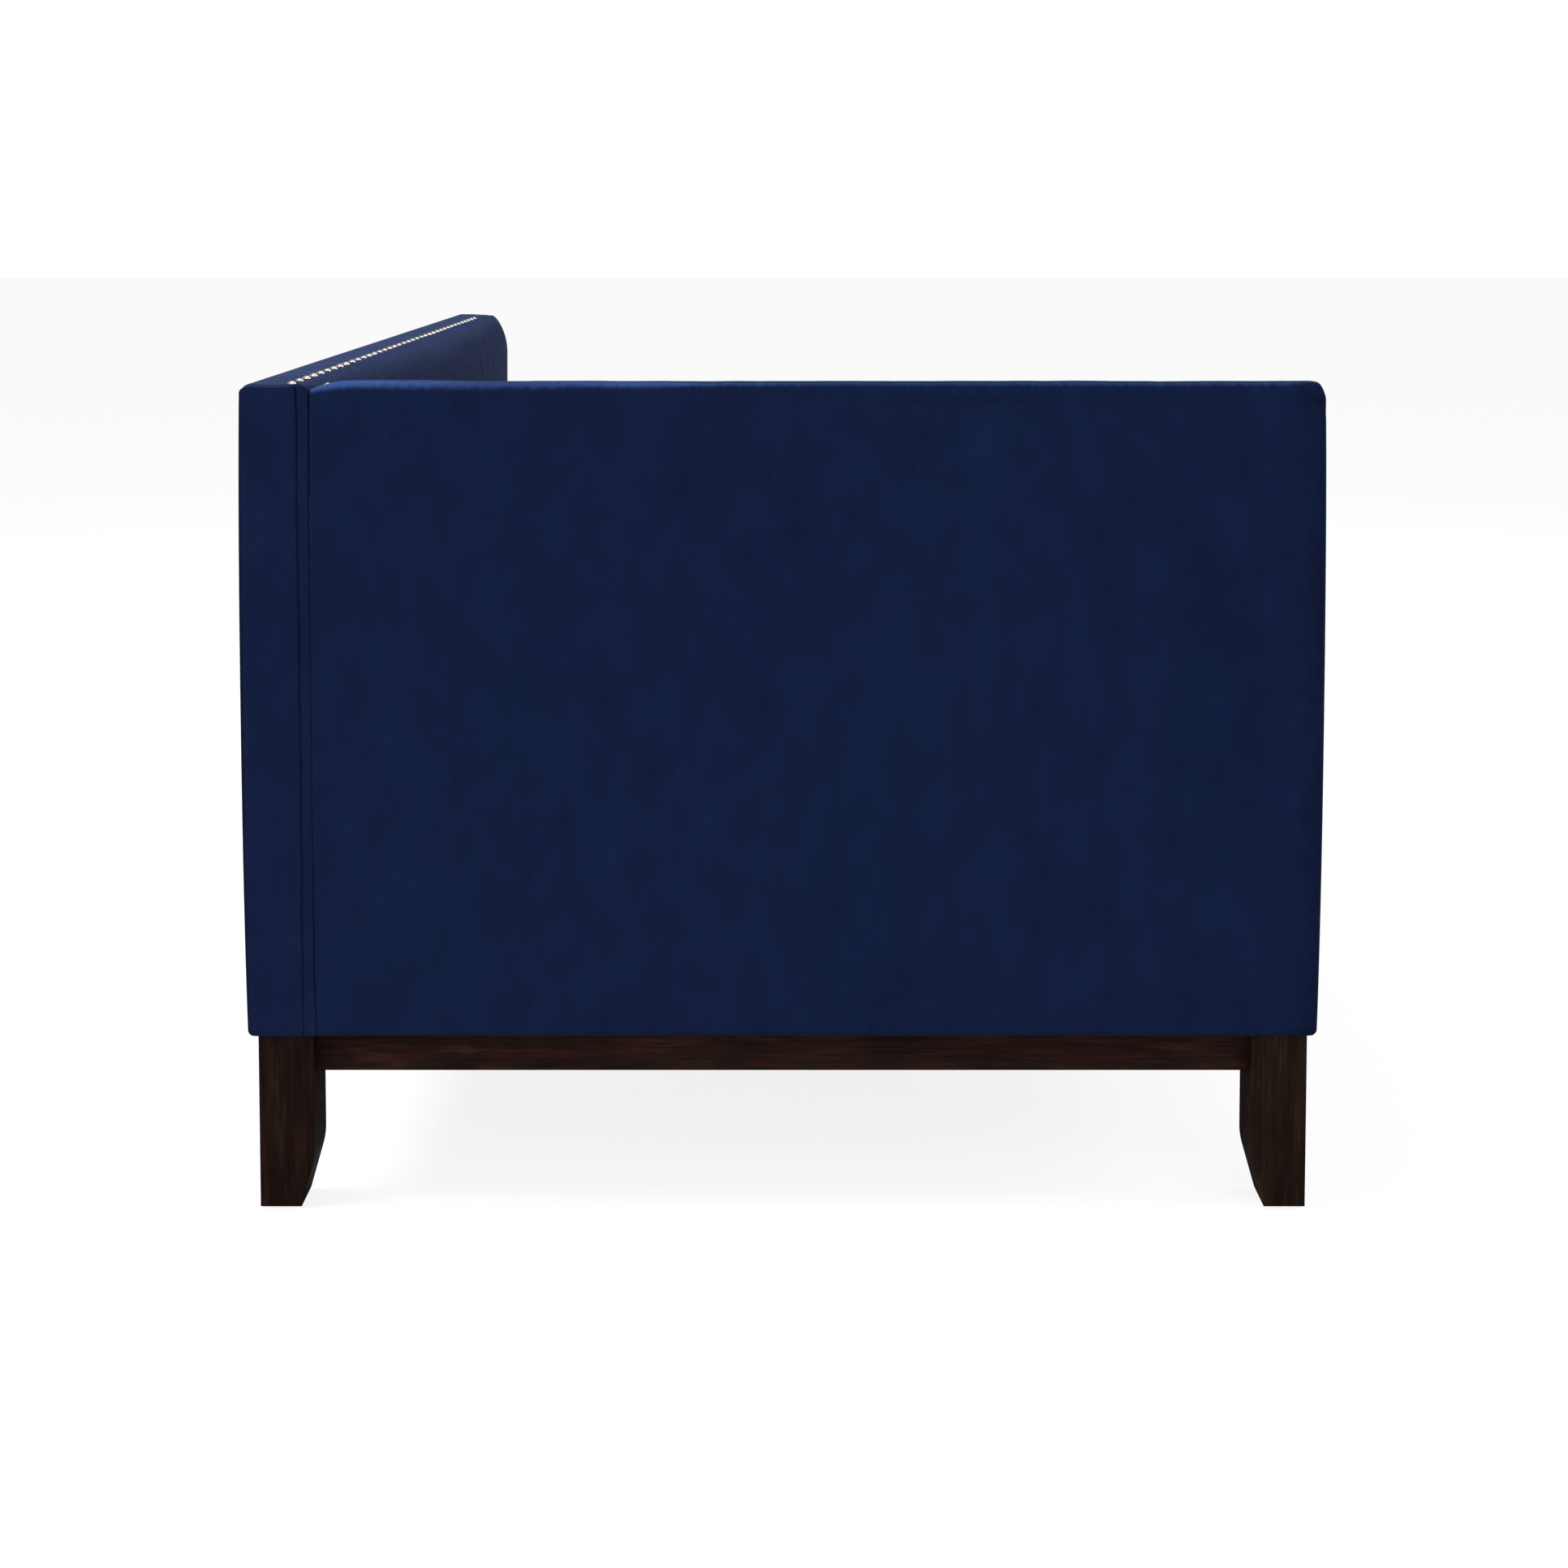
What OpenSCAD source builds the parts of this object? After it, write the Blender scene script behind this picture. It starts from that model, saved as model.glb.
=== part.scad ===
// Upholstered daybed with a full back along one side and one arm at one end.
// The long side lies along X with the arm at the low end, the back is on the high Y side,
// and the floor is at zero height. Sizes are in millimetres.

/* [Overall] */
// Length, arm face to open end
overall_length = 2030; // [1700:10:2300]
// Depth, outside of the back to the front of the arm
overall_depth = 1092; // [900:4:1300]
// Height to the top of the nailheads on the back
overall_height = 848; // [740:4:980]
// How much lower the arm's nail line is than the back's
arm_drop = 4; // [2:1:60]
// How far a covered face bulges over its seams
face_crown = 3; // [1:0.5:5]

/* [Base] */
// Height of the base, floor to the underside of the covered body
base_height = 183; // [150:1:240]
// Leg size along the length
leg_length = 78; // [60:1:90]
// Leg size along the depth
leg_depth = 56; // [48:1:70]
// How far the legs stand in from the covered faces
leg_inset = 9; // [4:1:12]
// Height above the foot where a leg starts to taper
leg_taper_height = 52; // [30:1:80]
// How much a leg narrows at its foot
leg_taper = 14; // [5:1:20]
// Thickness of the felt pad under a foot
felt_height = 2.5; // [1.5:0.5:5]
// Diameter of the felt pad
felt_diameter = 32; // [20:1:36]
// Height of the wooden aprons
apron_height = 46; // [30:1:60]
// Thickness of the wooden aprons
apron_thickness = 22; // [16:1:28]
// How far the aprons stand in from the legs' outer faces
apron_recess = 30; // [12:1:31]
// Side of the square centre support leg
support_leg_width = 45; // [30:1:60]

/* [Frame] */
// Thickness of the back and arm frames
frame_thickness = 50; // [38:1:60]
// Height of the top and bottom rails of those frames
frame_rail_height = 60; // [45:1:80]
// Width of the upright posts of those frames
post_width = 60; // [40:1:80]
// Height of the tack rail above the seat deck's underside
tack_rail_lift = 20; // [10:1:60]
// Thickness of the lining board behind the inside pads
liner_thickness = 4; // [2:1:8]
// Thickness of the seat rails
seat_rail_thickness = 45; // [38:1:50]
// Height of the seat rails
seat_rail_height = 115; // [90:1:150]
// Thickness of the seat slats
slat_thickness = 18; // [12:1:25]
// Width of a seat slat
slat_width = 68; // [50:1:90]
// Wanted distance between slat centres
slat_pitch = 132; // [100:2:180]
// Side of the ledger strips under the slats
ledger_size = 22; // [18:1:35]
// Leg of a glued corner block
corner_block_size = 85; // [60:1:120]

/* [Fasteners] */
// Diameter of the leg and frame bolts
bolt_diameter = 10; // [6:1:12]
// Clearance of a bolt in its hole, all round
bolt_clearance = 0.25; // [0.1:0.05:0.5]
// How far a leg bolt reaches into the leg and into the frame
leg_bolt_reach = 40; // [25:1:55]
// Diameter of a frame bolt's head
bolt_head_diameter = 20; // [16:1:26]
// Height of a frame bolt's head
bolt_head_height = 5; // [3:0.5:7]
// Diameter of a nailhead
nail_diameter = 9.5; // [7:0.5:12]
// Height of a nailhead's dome
nail_height = 3; // [2:0.5:4]
// Distance between nailhead centres
nail_pitch = 46.7; // [20:0.1:60]
// Distance of the nail line from the outer face
nail_line = 51; // [44:0.5:52]
// Distance of the first nailhead from the end of its row
nail_end_margin = 12; // [8:1:40]
// Bare stretch of the back's nail line at the open end
nail_bare_end = 200; // [12:1:400]
// Diameter of a nail's shank
nail_shank_diameter = 2; // [1.5:0.1:2.5]
// Depth of a nail's shank below its head
nail_shank_length = 14; // [10:1:20]

/* [Upholstery] */
// Thickness of velvet and wadding over the frame
cover_thickness = 4; // [3:0.5:6]
// Rounding of the back's outer top edge
back_edge_radius = 9; // [5:1:14]
// Rounding of the upright corners
corner_radius = 7; // [4:1:12]
// Rounding of the arm's top at its front and back ends
arm_end_radius = 14; // [8:1:20]
// Height of the arm's stuffed top above its nail line
arm_top_crown = 4.5; // [2:0.5:8]
// Thickness of the inside pads at their seams
pad_edge = 24; // [18:1:30]
// Extra thickness of the inside pads at their middle
pad_crown = 15; // [8:1:18]
// Height of the roll at the top of the inside pads
pad_roll = 60; // [30:1:90]
// Thickness of the back pad where the arm squeezes it
squeezed_pad = 11; // [8:1:16]
// Wanted distance between the soft folds of the inside pads
fold_pitch = 205; // [150:5:300]
// Depth of the soft folds
fold_depth = 3; // [1:0.5:5]
// Thickness of the padded seat deck
deck_thickness = 18; // [12:1:30]

/* [Seat cushion] */
// Thickness of the loose cushion at its seams
cushion_thickness = 165; // [120:1:200]
// Crown of the cushion's top
cushion_crown = 16; // [6:1:25]
// How far the cushion's sides draw in between its corners
cushion_draw = 8; // [3:1:14]
// Corner radius of the cushion in plan
cushion_corner = 45; // [30:1:80]
// Room between the cushion and its neighbours
cushion_gap = 3; // [1:0.5:8]
// Height at which the cushion floats free of the deck
rest_gap = 0.3; // [0.2:0.05:0.4]

/* [Hidden] */

VELVET = "#1b2947";
VELVET_LIGHT = "#243558";
ESPRESSO = "#2c201b";
PINE = "#cfae7a";
BOARD = "#a5835a";
STEEL = "#8f9296";
NAIL = "#c9bda6";
CAMBRIC = "#17171a";
FELT = "#5d554c";
$fn = 48;
EPS = 1;
// Corner radius of a profile where a piece meets its neighbour squarely
SHARP = 0.01;

// Nominal faces of the covered body, before any crown
x_arm = -overall_length / 2 + face_crown;
x_open = overall_length / 2 - face_crown;
y_front = -overall_depth / 2 + face_crown;
y_back = overall_depth / 2 - face_crown;
back_top = overall_height - nail_height;
arm_top = back_top - arm_drop;
arm_crest = arm_top + arm_top_crown;
dust_thickness = 1;
frame_base = base_height;
leg_top = base_height - dust_thickness;
// Rounding of the covers at their lower edge
hem_radius = 4;

// Planes of the back, from the outside in
back_frame_out = y_back - cover_thickness;
back_frame_in = back_frame_out - frame_thickness;
back_liner_in = back_frame_in - liner_thickness;
back_pad_face = back_liner_in - pad_edge - pad_crown;
back_nail_y = y_back - nail_line;

// Planes of the arm, from the outside in
arm_frame_out = x_arm + cover_thickness;
arm_frame_in = arm_frame_out + frame_thickness;
arm_liner_in = arm_frame_in + liner_thickness;
arm_pad_face = arm_liner_in + pad_edge + pad_crown;
arm_nail_x = x_arm + nail_line;
arm_rear_y = back_liner_in - squeezed_pad;
arm_frame_rear = arm_rear_y - cover_thickness;
arm_frame_front = y_front + cover_thickness;

// Seat box
seat_front = y_front + cover_thickness;
seat_open = x_open - cover_thickness;
seat_rail_top = frame_base + seat_rail_height;
seat_in_front = seat_front + seat_rail_thickness;
seat_in_back = back_frame_in - seat_rail_thickness;
seat_in_arm = arm_frame_in + seat_rail_thickness;
seat_in_open = seat_open - seat_rail_thickness;
slat_base = seat_rail_top - slat_thickness;
seat_mid_y = (seat_in_front + seat_in_back) / 2;
seat_mid_x = (seat_in_arm + seat_in_open) / 2;
deck_top = seat_rail_top + deck_thickness;

// Frame tops under the covers
back_frame_top = back_top - cover_thickness;
arm_frame_top = arm_top - cover_thickness;
tack_rail_base = seat_rail_top + tack_rail_lift;
tack_rail_height = 40;
slat_end_room = 20;
corner_block_height = 50;

// Legs
leg_x_arm = x_arm + leg_inset;
leg_x_open = x_open - leg_inset;
leg_y_front = y_front + leg_inset;
leg_y_back = y_back - leg_inset;
leg_bolt_x_arm = (arm_frame_out + arm_frame_in) / 2;
leg_bolt_x_open = leg_x_open - leg_length / 2;
leg_bolt_y_front = seat_front + seat_rail_thickness * 0.7;
leg_bolt_y_back = (back_frame_in + back_frame_out) / 2;
leg_bolt_spots = [[leg_bolt_x_arm, leg_bolt_y_front], [leg_bolt_x_open, leg_bolt_y_front],
                  [leg_bolt_x_arm, leg_bolt_y_back], [leg_bolt_x_open, leg_bolt_y_back]];
taper_blend = 10;
support_leg_x = seat_mid_x;
support_leg_y = seat_mid_y;

// Aprons
apron_base = leg_top - apron_height;
apron_front_y = leg_y_front + apron_recess;
apron_back_y = leg_y_back - apron_recess;
apron_arm_x = leg_x_arm + apron_recess;
apron_open_x = leg_x_open - apron_recess;

// Frame bolts: the back and the arm are bolted to the seat box
frame_bolt_z = frame_base + 32;
frame_bolt_tail = 12;
nut_thickness = 8;
nut_width = 17;
back_bolt_xs = [for (f = [-0.42, -0.14, 0.14, 0.42]) f * (seat_in_open - seat_in_arm) + seat_mid_x];
arm_bolt_ys = [for (f = [-0.4, -0.14, 0.14, 0.4]) f * (seat_in_back - seat_in_front) + seat_mid_y];

// Counts that follow the sizes
slat_count = floor((seat_in_open - seat_in_arm - slat_width) / slat_pitch) + 1;
slat_step = (seat_in_open - seat_in_arm - slat_width - 2 * slat_end_room) / (slat_count - 1);
back_nail_first = x_arm + nail_end_margin;
back_nail_count = floor((x_open - nail_bare_end - back_nail_first) / nail_pitch) + 1;
arm_nail_first = y_front + nail_end_margin;
arm_nail_room = arm_rear_y - nail_end_margin - arm_nail_first;
arm_nail_count = floor(arm_nail_room / nail_pitch) + 1;
arm_nail_step = arm_nail_room / (arm_nail_count - 1);
back_nails = [for (i = [0 : back_nail_count - 1]) [back_nail_first + i * nail_pitch, back_nail_y]];
arm_nails = [for (i = [0 : arm_nail_count - 1]) [arm_nail_x, arm_nail_first + i * arm_nail_step]];
back_post_count = 5;
arm_post_count = 3;

function lerp(a, b, t) = a + (b - a) * t;

// Points of an arc about a centre
function arc(centre, r, a0, a1, steps) =
    [for (i = [0 : steps]) centre + r * [cos(lerp(a0, a1, i / steps)), sin(lerp(a0, a1, i / steps))]];

// Points of a shallow bulge between two points, ends left out
function bulge(p, q, rise, steps = 8) =
    let (along = q - p, side = [along[1], -along[0]] / norm(along))
    [for (i = [1 : steps - 1]) let (t = i / steps) p + along * t + side * rise * 4 * t * (1 - t)];

// Outline of a rectangle with its own corner radii and crowned sides, counterclockwise.
// Corners and sides are listed from the low corner on: bottom, right, top, left.
function crowned_outline(lo, hi, radii, crowns) =
    let (c0 = lo + [1, 1] * radii[0],
         c1 = [hi[0], lo[1]] + [-1, 1] * radii[1],
         c2 = hi - [1, 1] * radii[2],
         c3 = [lo[0], hi[1]] + [1, -1] * radii[3],
         a0 = arc(c0, radii[0], 180, 270, 4),
         a1 = arc(c1, radii[1], 270, 360, 4),
         a2 = arc(c2, radii[2], 0, 90, 4),
         a3 = arc(c3, radii[3], 90, 180, 4))
    concat(a0, bulge(a0[4], a1[0], crowns[0]), a1, bulge(a1[4], a2[0], crowns[1]),
           a2, bulge(a2[4], a3[0], crowns[2]), a3, bulge(a3[4], a0[0], crowns[3]));

module box_between(lo, hi) {
    translate(lo)
        cube(hi - lo);
}

// Extrusions of an outline in the three planes of the frame
module along_x(x0, x1, outline) {
    translate([x0, 0, 0])
        rotate([90, 0, 90])
            linear_extrude(height = x1 - x0)
                polygon(outline);
}

module along_y(y0, y1, outline) {
    translate([0, y1, 0])
        rotate([90, 0, 0])
            linear_extrude(height = y1 - y0)
                polygon(outline);
}

module along_z(z0, z1, outline) {
    translate([0, 0, z0])
        linear_extrude(height = z1 - z0)
            polygon(outline);
}

// Upright hole or bolt shank
module upright(spot, z0, z1, diameter) {
    translate([spot[0], spot[1], z0])
        cylinder(h = z1 - z0, d = diameter);
}

bore = bolt_diameter + 2 * bolt_clearance;
shank_clearance = 0.1;

// Side profile of a leg whose inner face tapers in at the foot, with a soft start
function leg_profile(width, height) =
    let (foot = width - leg_taper,
         start = leg_taper_height,
         low = start - taper_blend,
         mid_x = lerp(foot, width, low / start))
    concat([[0, 0], [foot, 0], [mid_x, low]],
           [for (t = [0.25, 0.5, 0.75])
               let (a = [mid_x, low], b = [width, start], c = [width, start + taper_blend])
               a * (1 - t) * (1 - t) + b * 2 * t * (1 - t) + c * t * t],
           [[width, start + taper_blend], [width, height], [0, height]]);

// A leg at its outer corner, with the directions that point inwards
module leg(corner, inward, bolt) {
    height = leg_top - felt_height;
    color(ESPRESSO)
        difference() {
            translate([corner[0], corner[1], felt_height])
                mirror([inward[0] < 0 ? 1 : 0, 0, 0])
                    mirror([0, inward[1] < 0 ? 1 : 0, 0])
                        intersection() {
                            along_x(0, leg_length, leg_profile(leg_depth, height));
                            along_y(0, leg_depth, leg_profile(leg_length, height));
                        }
            upright(bolt, leg_top - leg_bolt_reach, leg_top + EPS, bore);
        }
}

module leg_front_arm() {
    leg([leg_x_arm, leg_y_front], [1, 1], leg_bolt_spots[0]);
}

module leg_front_open() {
    leg([leg_x_open, leg_y_front], [-1, 1], leg_bolt_spots[1]);
}

module leg_back_arm() {
    leg([leg_x_arm, leg_y_back], [1, -1], leg_bolt_spots[2]);
}

module leg_back_open() {
    leg([leg_x_open, leg_y_back], [-1, -1], leg_bolt_spots[3]);
}

module centre_support_leg() {
    half = support_leg_width / 2;
    color(PINE)
        box_between([support_leg_x - half, support_leg_y - half, felt_height],
                    [support_leg_x + half, support_leg_y + half, leg_top]);
}

module felt_feet() {
    in_x = (leg_length - leg_taper) / 2;
    in_y = (leg_depth - leg_taper) / 2;
    spots = [[leg_x_arm + in_x, leg_y_front + in_y], [leg_x_open - in_x, leg_y_front + in_y],
             [leg_x_arm + in_x, leg_y_back - in_y], [leg_x_open - in_x, leg_y_back - in_y],
             [support_leg_x, support_leg_y]];
    color(FELT)
        for (spot = spots)
            upright(spot, 0, felt_height, felt_diameter);
}

module apron_front() {
    color(ESPRESSO)
        box_between([leg_x_arm + leg_length, apron_front_y, apron_base],
                    [leg_x_open - leg_length, apron_front_y + apron_thickness, leg_top]);
}

module apron_back() {
    color(ESPRESSO)
        box_between([leg_x_arm + leg_length, apron_back_y - apron_thickness, apron_base],
                    [leg_x_open - leg_length, apron_back_y, leg_top]);
}

module apron_arm_end() {
    color(ESPRESSO)
        box_between([apron_arm_x, leg_y_front + leg_depth, apron_base],
                    [apron_arm_x + apron_thickness, leg_y_back - leg_depth, leg_top]);
}

module apron_open_end() {
    color(ESPRESSO)
        box_between([apron_open_x - apron_thickness, leg_y_front + leg_depth, apron_base],
                    [apron_open_x, leg_y_back - leg_depth, leg_top]);
}

module leg_bolts() {
    color(STEEL)
        for (spot = leg_bolt_spots)
            upright(spot, leg_top - leg_bolt_reach, frame_base + leg_bolt_reach, bolt_diameter);
}

module leg_bolt_holes() {
    for (spot = leg_bolt_spots)
        upright(spot, frame_base - 2 * EPS, frame_base + leg_bolt_reach, bore);
}

module dust_cover() {
    color(CAMBRIC)
        difference() {
            box_between([arm_frame_out, seat_front, leg_top], [seat_open, back_frame_out, frame_base]);
            leg_bolt_holes();
        }
}

// A bolt along Y through the back and the seat box, with its head sunk in the frame
module back_bolt(x, slack) {
    from = seat_in_back - nut_thickness - frame_bolt_tail / 2;
    translate([x, 0, frame_bolt_z]) {
        translate([0, back_frame_out - bolt_head_height, 0])
            rotate([-90, 0, 0])
                cylinder(h = bolt_head_height + slack, d = bolt_head_diameter + 2 * slack);
        translate([0, from, 0])
            rotate([-90, 0, 0])
                cylinder(h = back_frame_out - bolt_head_height - from, d = bolt_diameter + 2 * slack);
    }
}

// A bolt along X through the arm and the seat box
module arm_bolt(y, slack) {
    to = seat_in_arm + nut_thickness + frame_bolt_tail / 2;
    translate([0, y, frame_bolt_z]) {
        translate([arm_frame_out - slack, 0, 0])
            rotate([0, 90, 0])
                cylinder(h = bolt_head_height + slack, d = bolt_head_diameter + 2 * slack);
        translate([arm_frame_out + bolt_head_height, 0, 0])
            rotate([0, 90, 0])
                cylinder(h = to - arm_frame_out - bolt_head_height, d = bolt_diameter + 2 * slack);
    }
}

module frame_bolts() {
    color(STEEL) {
        for (x = back_bolt_xs) {
            back_bolt(x, 0);
            translate([x, seat_in_back, frame_bolt_z])
                rotate([90, 0, 0])
                    cylinder(h = nut_thickness, d = nut_width / cos(30), $fn = 6);
        }
        for (y = arm_bolt_ys) {
            arm_bolt(y, 0);
            translate([seat_in_arm, y, frame_bolt_z])
                rotate([0, 90, 0])
                    cylinder(h = nut_thickness, d = nut_width / cos(30), $fn = 6);
        }
    }
}

module frame_bolt_holes() {
    for (x = back_bolt_xs)
        back_bolt(x, bolt_clearance);
    for (y = arm_bolt_ys)
        arm_bolt(y, bolt_clearance);
}

module seat_rail_front() {
    color(PINE)
        difference() {
            box_between([arm_frame_in, seat_front, frame_base],
                        [seat_open, seat_in_front, seat_rail_top]);
            leg_bolt_holes();
        }
}

module seat_rail_back() {
    color(PINE)
        difference() {
            box_between([arm_frame_in, seat_in_back, frame_base],
                        [seat_open, back_frame_in, seat_rail_top]);
            frame_bolt_holes();
        }
}

module seat_rail_arm_end() {
    color(PINE)
        difference() {
            box_between([arm_frame_in, seat_in_front, frame_base],
                        [seat_in_arm, seat_in_back, seat_rail_top]);
            frame_bolt_holes();
        }
}

module seat_rail_open_end() {
    color(PINE)
        box_between([seat_in_open, seat_in_front, frame_base],
                    [seat_open, seat_in_back, seat_rail_top]);
}

module centre_rail() {
    half = support_leg_width / 2;
    color(PINE)
        box_between([seat_in_arm, seat_mid_y - half, frame_base],
                    [seat_in_open, seat_mid_y + half, slat_base]);
}

module slat_ledgers() {
    color(PINE) {
        box_between([seat_in_arm, seat_in_front, slat_base - ledger_size],
                    [seat_in_open, seat_in_front + ledger_size, slat_base]);
        box_between([seat_in_arm, seat_in_back - ledger_size, slat_base - ledger_size],
                    [seat_in_open, seat_in_back, slat_base]);
    }
}

module seat_slats() {
    color(PINE)
        for (i = [0 : slat_count - 1])
            translate([seat_in_arm + slat_end_room + i * slat_step, seat_in_front, slat_base])
                cube([slat_width, seat_in_back - seat_in_front, slat_thickness]);
}

module corner_blocks() {
    corners = [[seat_in_arm, seat_in_front, 1, 1], [seat_in_open, seat_in_front, -1, 1],
               [seat_in_arm, seat_in_back, 1, -1], [seat_in_open, seat_in_back, -1, -1]];
    color(PINE)
        for (c = corners)
            translate([c[0], c[1], frame_base])
                mirror([c[2] < 0 ? 1 : 0, 0, 0])
                    mirror([0, c[3] < 0 ? 1 : 0, 0])
                        linear_extrude(height = corner_block_height)
                            polygon([[0, 0], [corner_block_size, 0], [0, corner_block_size]]);
}

module back_bottom_rail() {
    color(PINE)
        difference() {
            box_between([arm_frame_out, back_frame_in, frame_base],
                        [seat_open, back_frame_out, frame_base + frame_rail_height]);
            leg_bolt_holes();
            frame_bolt_holes();
        }
}

module nail_shanks(spots, top, slack) {
    for (spot = spots)
        upright(spot, top - nail_shank_length - slack, top + slack, nail_shank_diameter + 2 * slack);
}

module back_top_rail() {
    color(PINE)
        difference() {
            box_between([arm_frame_out, back_frame_in, back_frame_top - frame_rail_height],
                        [seat_open, back_frame_out, back_frame_top]);
            nail_shanks(back_nails, back_top, shank_clearance);
        }
}

module back_posts() {
    step = (seat_open - arm_frame_out - post_width) / (back_post_count - 1);
    color(PINE)
        for (i = [0 : back_post_count - 1])
            translate([arm_frame_out + i * step, back_frame_in, frame_base + frame_rail_height])
                cube([post_width, frame_thickness, back_frame_top - frame_base - 2 * frame_rail_height]);
}

module back_tack_rails() {
    step = (seat_open - arm_frame_out - post_width) / (back_post_count - 1);
    color(PINE)
        for (i = [0 : back_post_count - 2])
            translate([arm_frame_out + i * step + post_width, back_frame_in, tack_rail_base])
                cube([step - post_width, frame_thickness / 2, tack_rail_height]);
}

module back_lining_board() {
    color(BOARD)
        box_between([arm_frame_out, back_liner_in, seat_rail_top],
                    [seat_open, back_frame_in, back_frame_top]);
}

module arm_bottom_rail() {
    color(PINE)
        difference() {
            box_between([arm_frame_out, arm_frame_front, frame_base],
                        [arm_frame_in, arm_frame_rear, frame_base + frame_rail_height]);
            leg_bolt_holes();
            frame_bolt_holes();
        }
}

module arm_top_rail() {
    color(PINE)
        difference() {
            box_between([arm_frame_out, arm_frame_front, arm_frame_top - frame_rail_height],
                        [arm_frame_in, arm_frame_rear, arm_frame_top]);
            nail_shanks(arm_nails, arm_top, shank_clearance);
        }
}

module arm_posts() {
    step = (arm_frame_rear - arm_frame_front - post_width) / (arm_post_count - 1);
    color(PINE)
        for (i = [0 : arm_post_count - 1])
            translate([arm_frame_out, arm_frame_front + i * step, frame_base + frame_rail_height])
                cube([frame_thickness, post_width, arm_frame_top - frame_base - 2 * frame_rail_height]);
}

module arm_tack_rails() {
    step = (arm_frame_rear - arm_frame_front - post_width) / (arm_post_count - 1);
    color(PINE)
        for (i = [0 : arm_post_count - 2])
            translate([arm_frame_in - frame_thickness / 2, arm_frame_front + i * step + post_width,
                       tack_rail_base])
                cube([frame_thickness / 2, step - post_width, tack_rail_height]);
}

module arm_lining_board() {
    color(BOARD)
        box_between([arm_frame_in, arm_frame_front, seat_rail_top],
                    [arm_liner_in, arm_frame_rear, arm_frame_top]);
}

// Velvet over the outside, the ends and the top of the back, up to the seam with the pad
module outside_back_cover() {
    side = crowned_outline([back_liner_in + EPS, frame_base], [y_back, back_top],
                           [SHARP, hem_radius, back_edge_radius, SHARP], [0, face_crown, 0, 0]);
    front = crowned_outline([x_arm, frame_base], [x_open, back_top],
                            [hem_radius, hem_radius, corner_radius, corner_radius],
                            [0, face_crown, 0, face_crown]);
    plan = crowned_outline([x_arm, back_liner_in + EPS], [x_open, y_back],
                           [SHARP, SHARP, corner_radius, corner_radius],
                           [0, face_crown, face_crown, face_crown]);
    color(VELVET)
        difference() {
            intersection() {
                along_x(x_arm - 2 * face_crown, x_open + 2 * face_crown, side);
                along_y(0, y_back + 2 * face_crown, front);
                along_z(0, back_top + EPS, plan);
            }
            box_between([arm_frame_out, 0, 0], [seat_open, back_frame_out, back_frame_top]);
            nail_shanks(back_nails, back_top, shank_clearance);
        }
}

// Velvet over the outside, the ends and the stuffed top of the arm
module arm_outside_cover() {
    low = arc([x_arm, frame_base] + [1, 1] * hem_radius, hem_radius, 180, 270, 4);
    high = arc([x_arm + back_edge_radius, arm_top - back_edge_radius], back_edge_radius, 90, 180, 4);
    nail_seat = [arm_nail_x - nail_diameter / 2 - 0.5, arm_top];
    front = concat(low, [[arm_liner_in - EPS, frame_base], [arm_liner_in - EPS, arm_top], nail_seat],
                   bulge(nail_seat, high[0], arm_top_crown), high, bulge(high[4], low[0], face_crown));
    side = crowned_outline([y_front, frame_base], [arm_rear_y, arm_crest],
                           [hem_radius, SHARP, arm_end_radius, arm_end_radius], [0, 0, 0, face_crown]);
    plan = crowned_outline([x_arm, y_front], [arm_liner_in - EPS, arm_rear_y],
                           [corner_radius, SHARP, SHARP, corner_radius],
                           [face_crown, 0, 0, face_crown]);
    color(VELVET)
        difference() {
            intersection() {
                along_y(y_front - 2 * face_crown, arm_rear_y + EPS, front);
                along_x(x_arm - 2 * face_crown, arm_liner_in, side);
                along_z(0, arm_crest + EPS, plan);
            }
            box_between([arm_frame_out, arm_frame_front, 0],
                        [arm_liner_in, arm_frame_rear, arm_frame_top]);
            box_between([arm_frame_in, arm_frame_front, 0],
                        [arm_liner_in, arm_rear_y + EPS, seat_rail_top]);
            nail_shanks(arm_nails, arm_top, shank_clearance);
        }
}

// Velvet over the front and the open end of the seat box
module seat_border_cover() {
    plan = crowned_outline([arm_liner_in, y_front], [x_open, back_liner_in],
                           [SHARP, corner_radius, SHARP, SHARP], [face_crown, face_crown, 0, 0]);
    front = crowned_outline([arm_liner_in, frame_base], [x_open, deck_top],
                            [SHARP, hem_radius, hem_radius, SHARP], [0, face_crown, 0, 0]);
    side = crowned_outline([y_front, frame_base], [back_liner_in, deck_top],
                           [hem_radius, SHARP, SHARP, hem_radius], [0, 0, 0, face_crown]);
    color(VELVET)
        difference() {
            intersection() {
                along_z(0, deck_top + EPS, plan);
                along_y(y_front - 2 * face_crown, back_liner_in, front);
                along_x(arm_liner_in, x_open + 2 * face_crown, side);
            }
            box_between([arm_liner_in - EPS, seat_front, 0],
                        [seat_open, y_back, deck_top + EPS]);
        }
}

module seat_deck_pad() {
    color(VELVET_LIGHT)
        box_between([arm_liner_in, seat_front, seat_rail_top],
                    [seat_open, back_liner_in, deck_top]);
}

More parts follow.
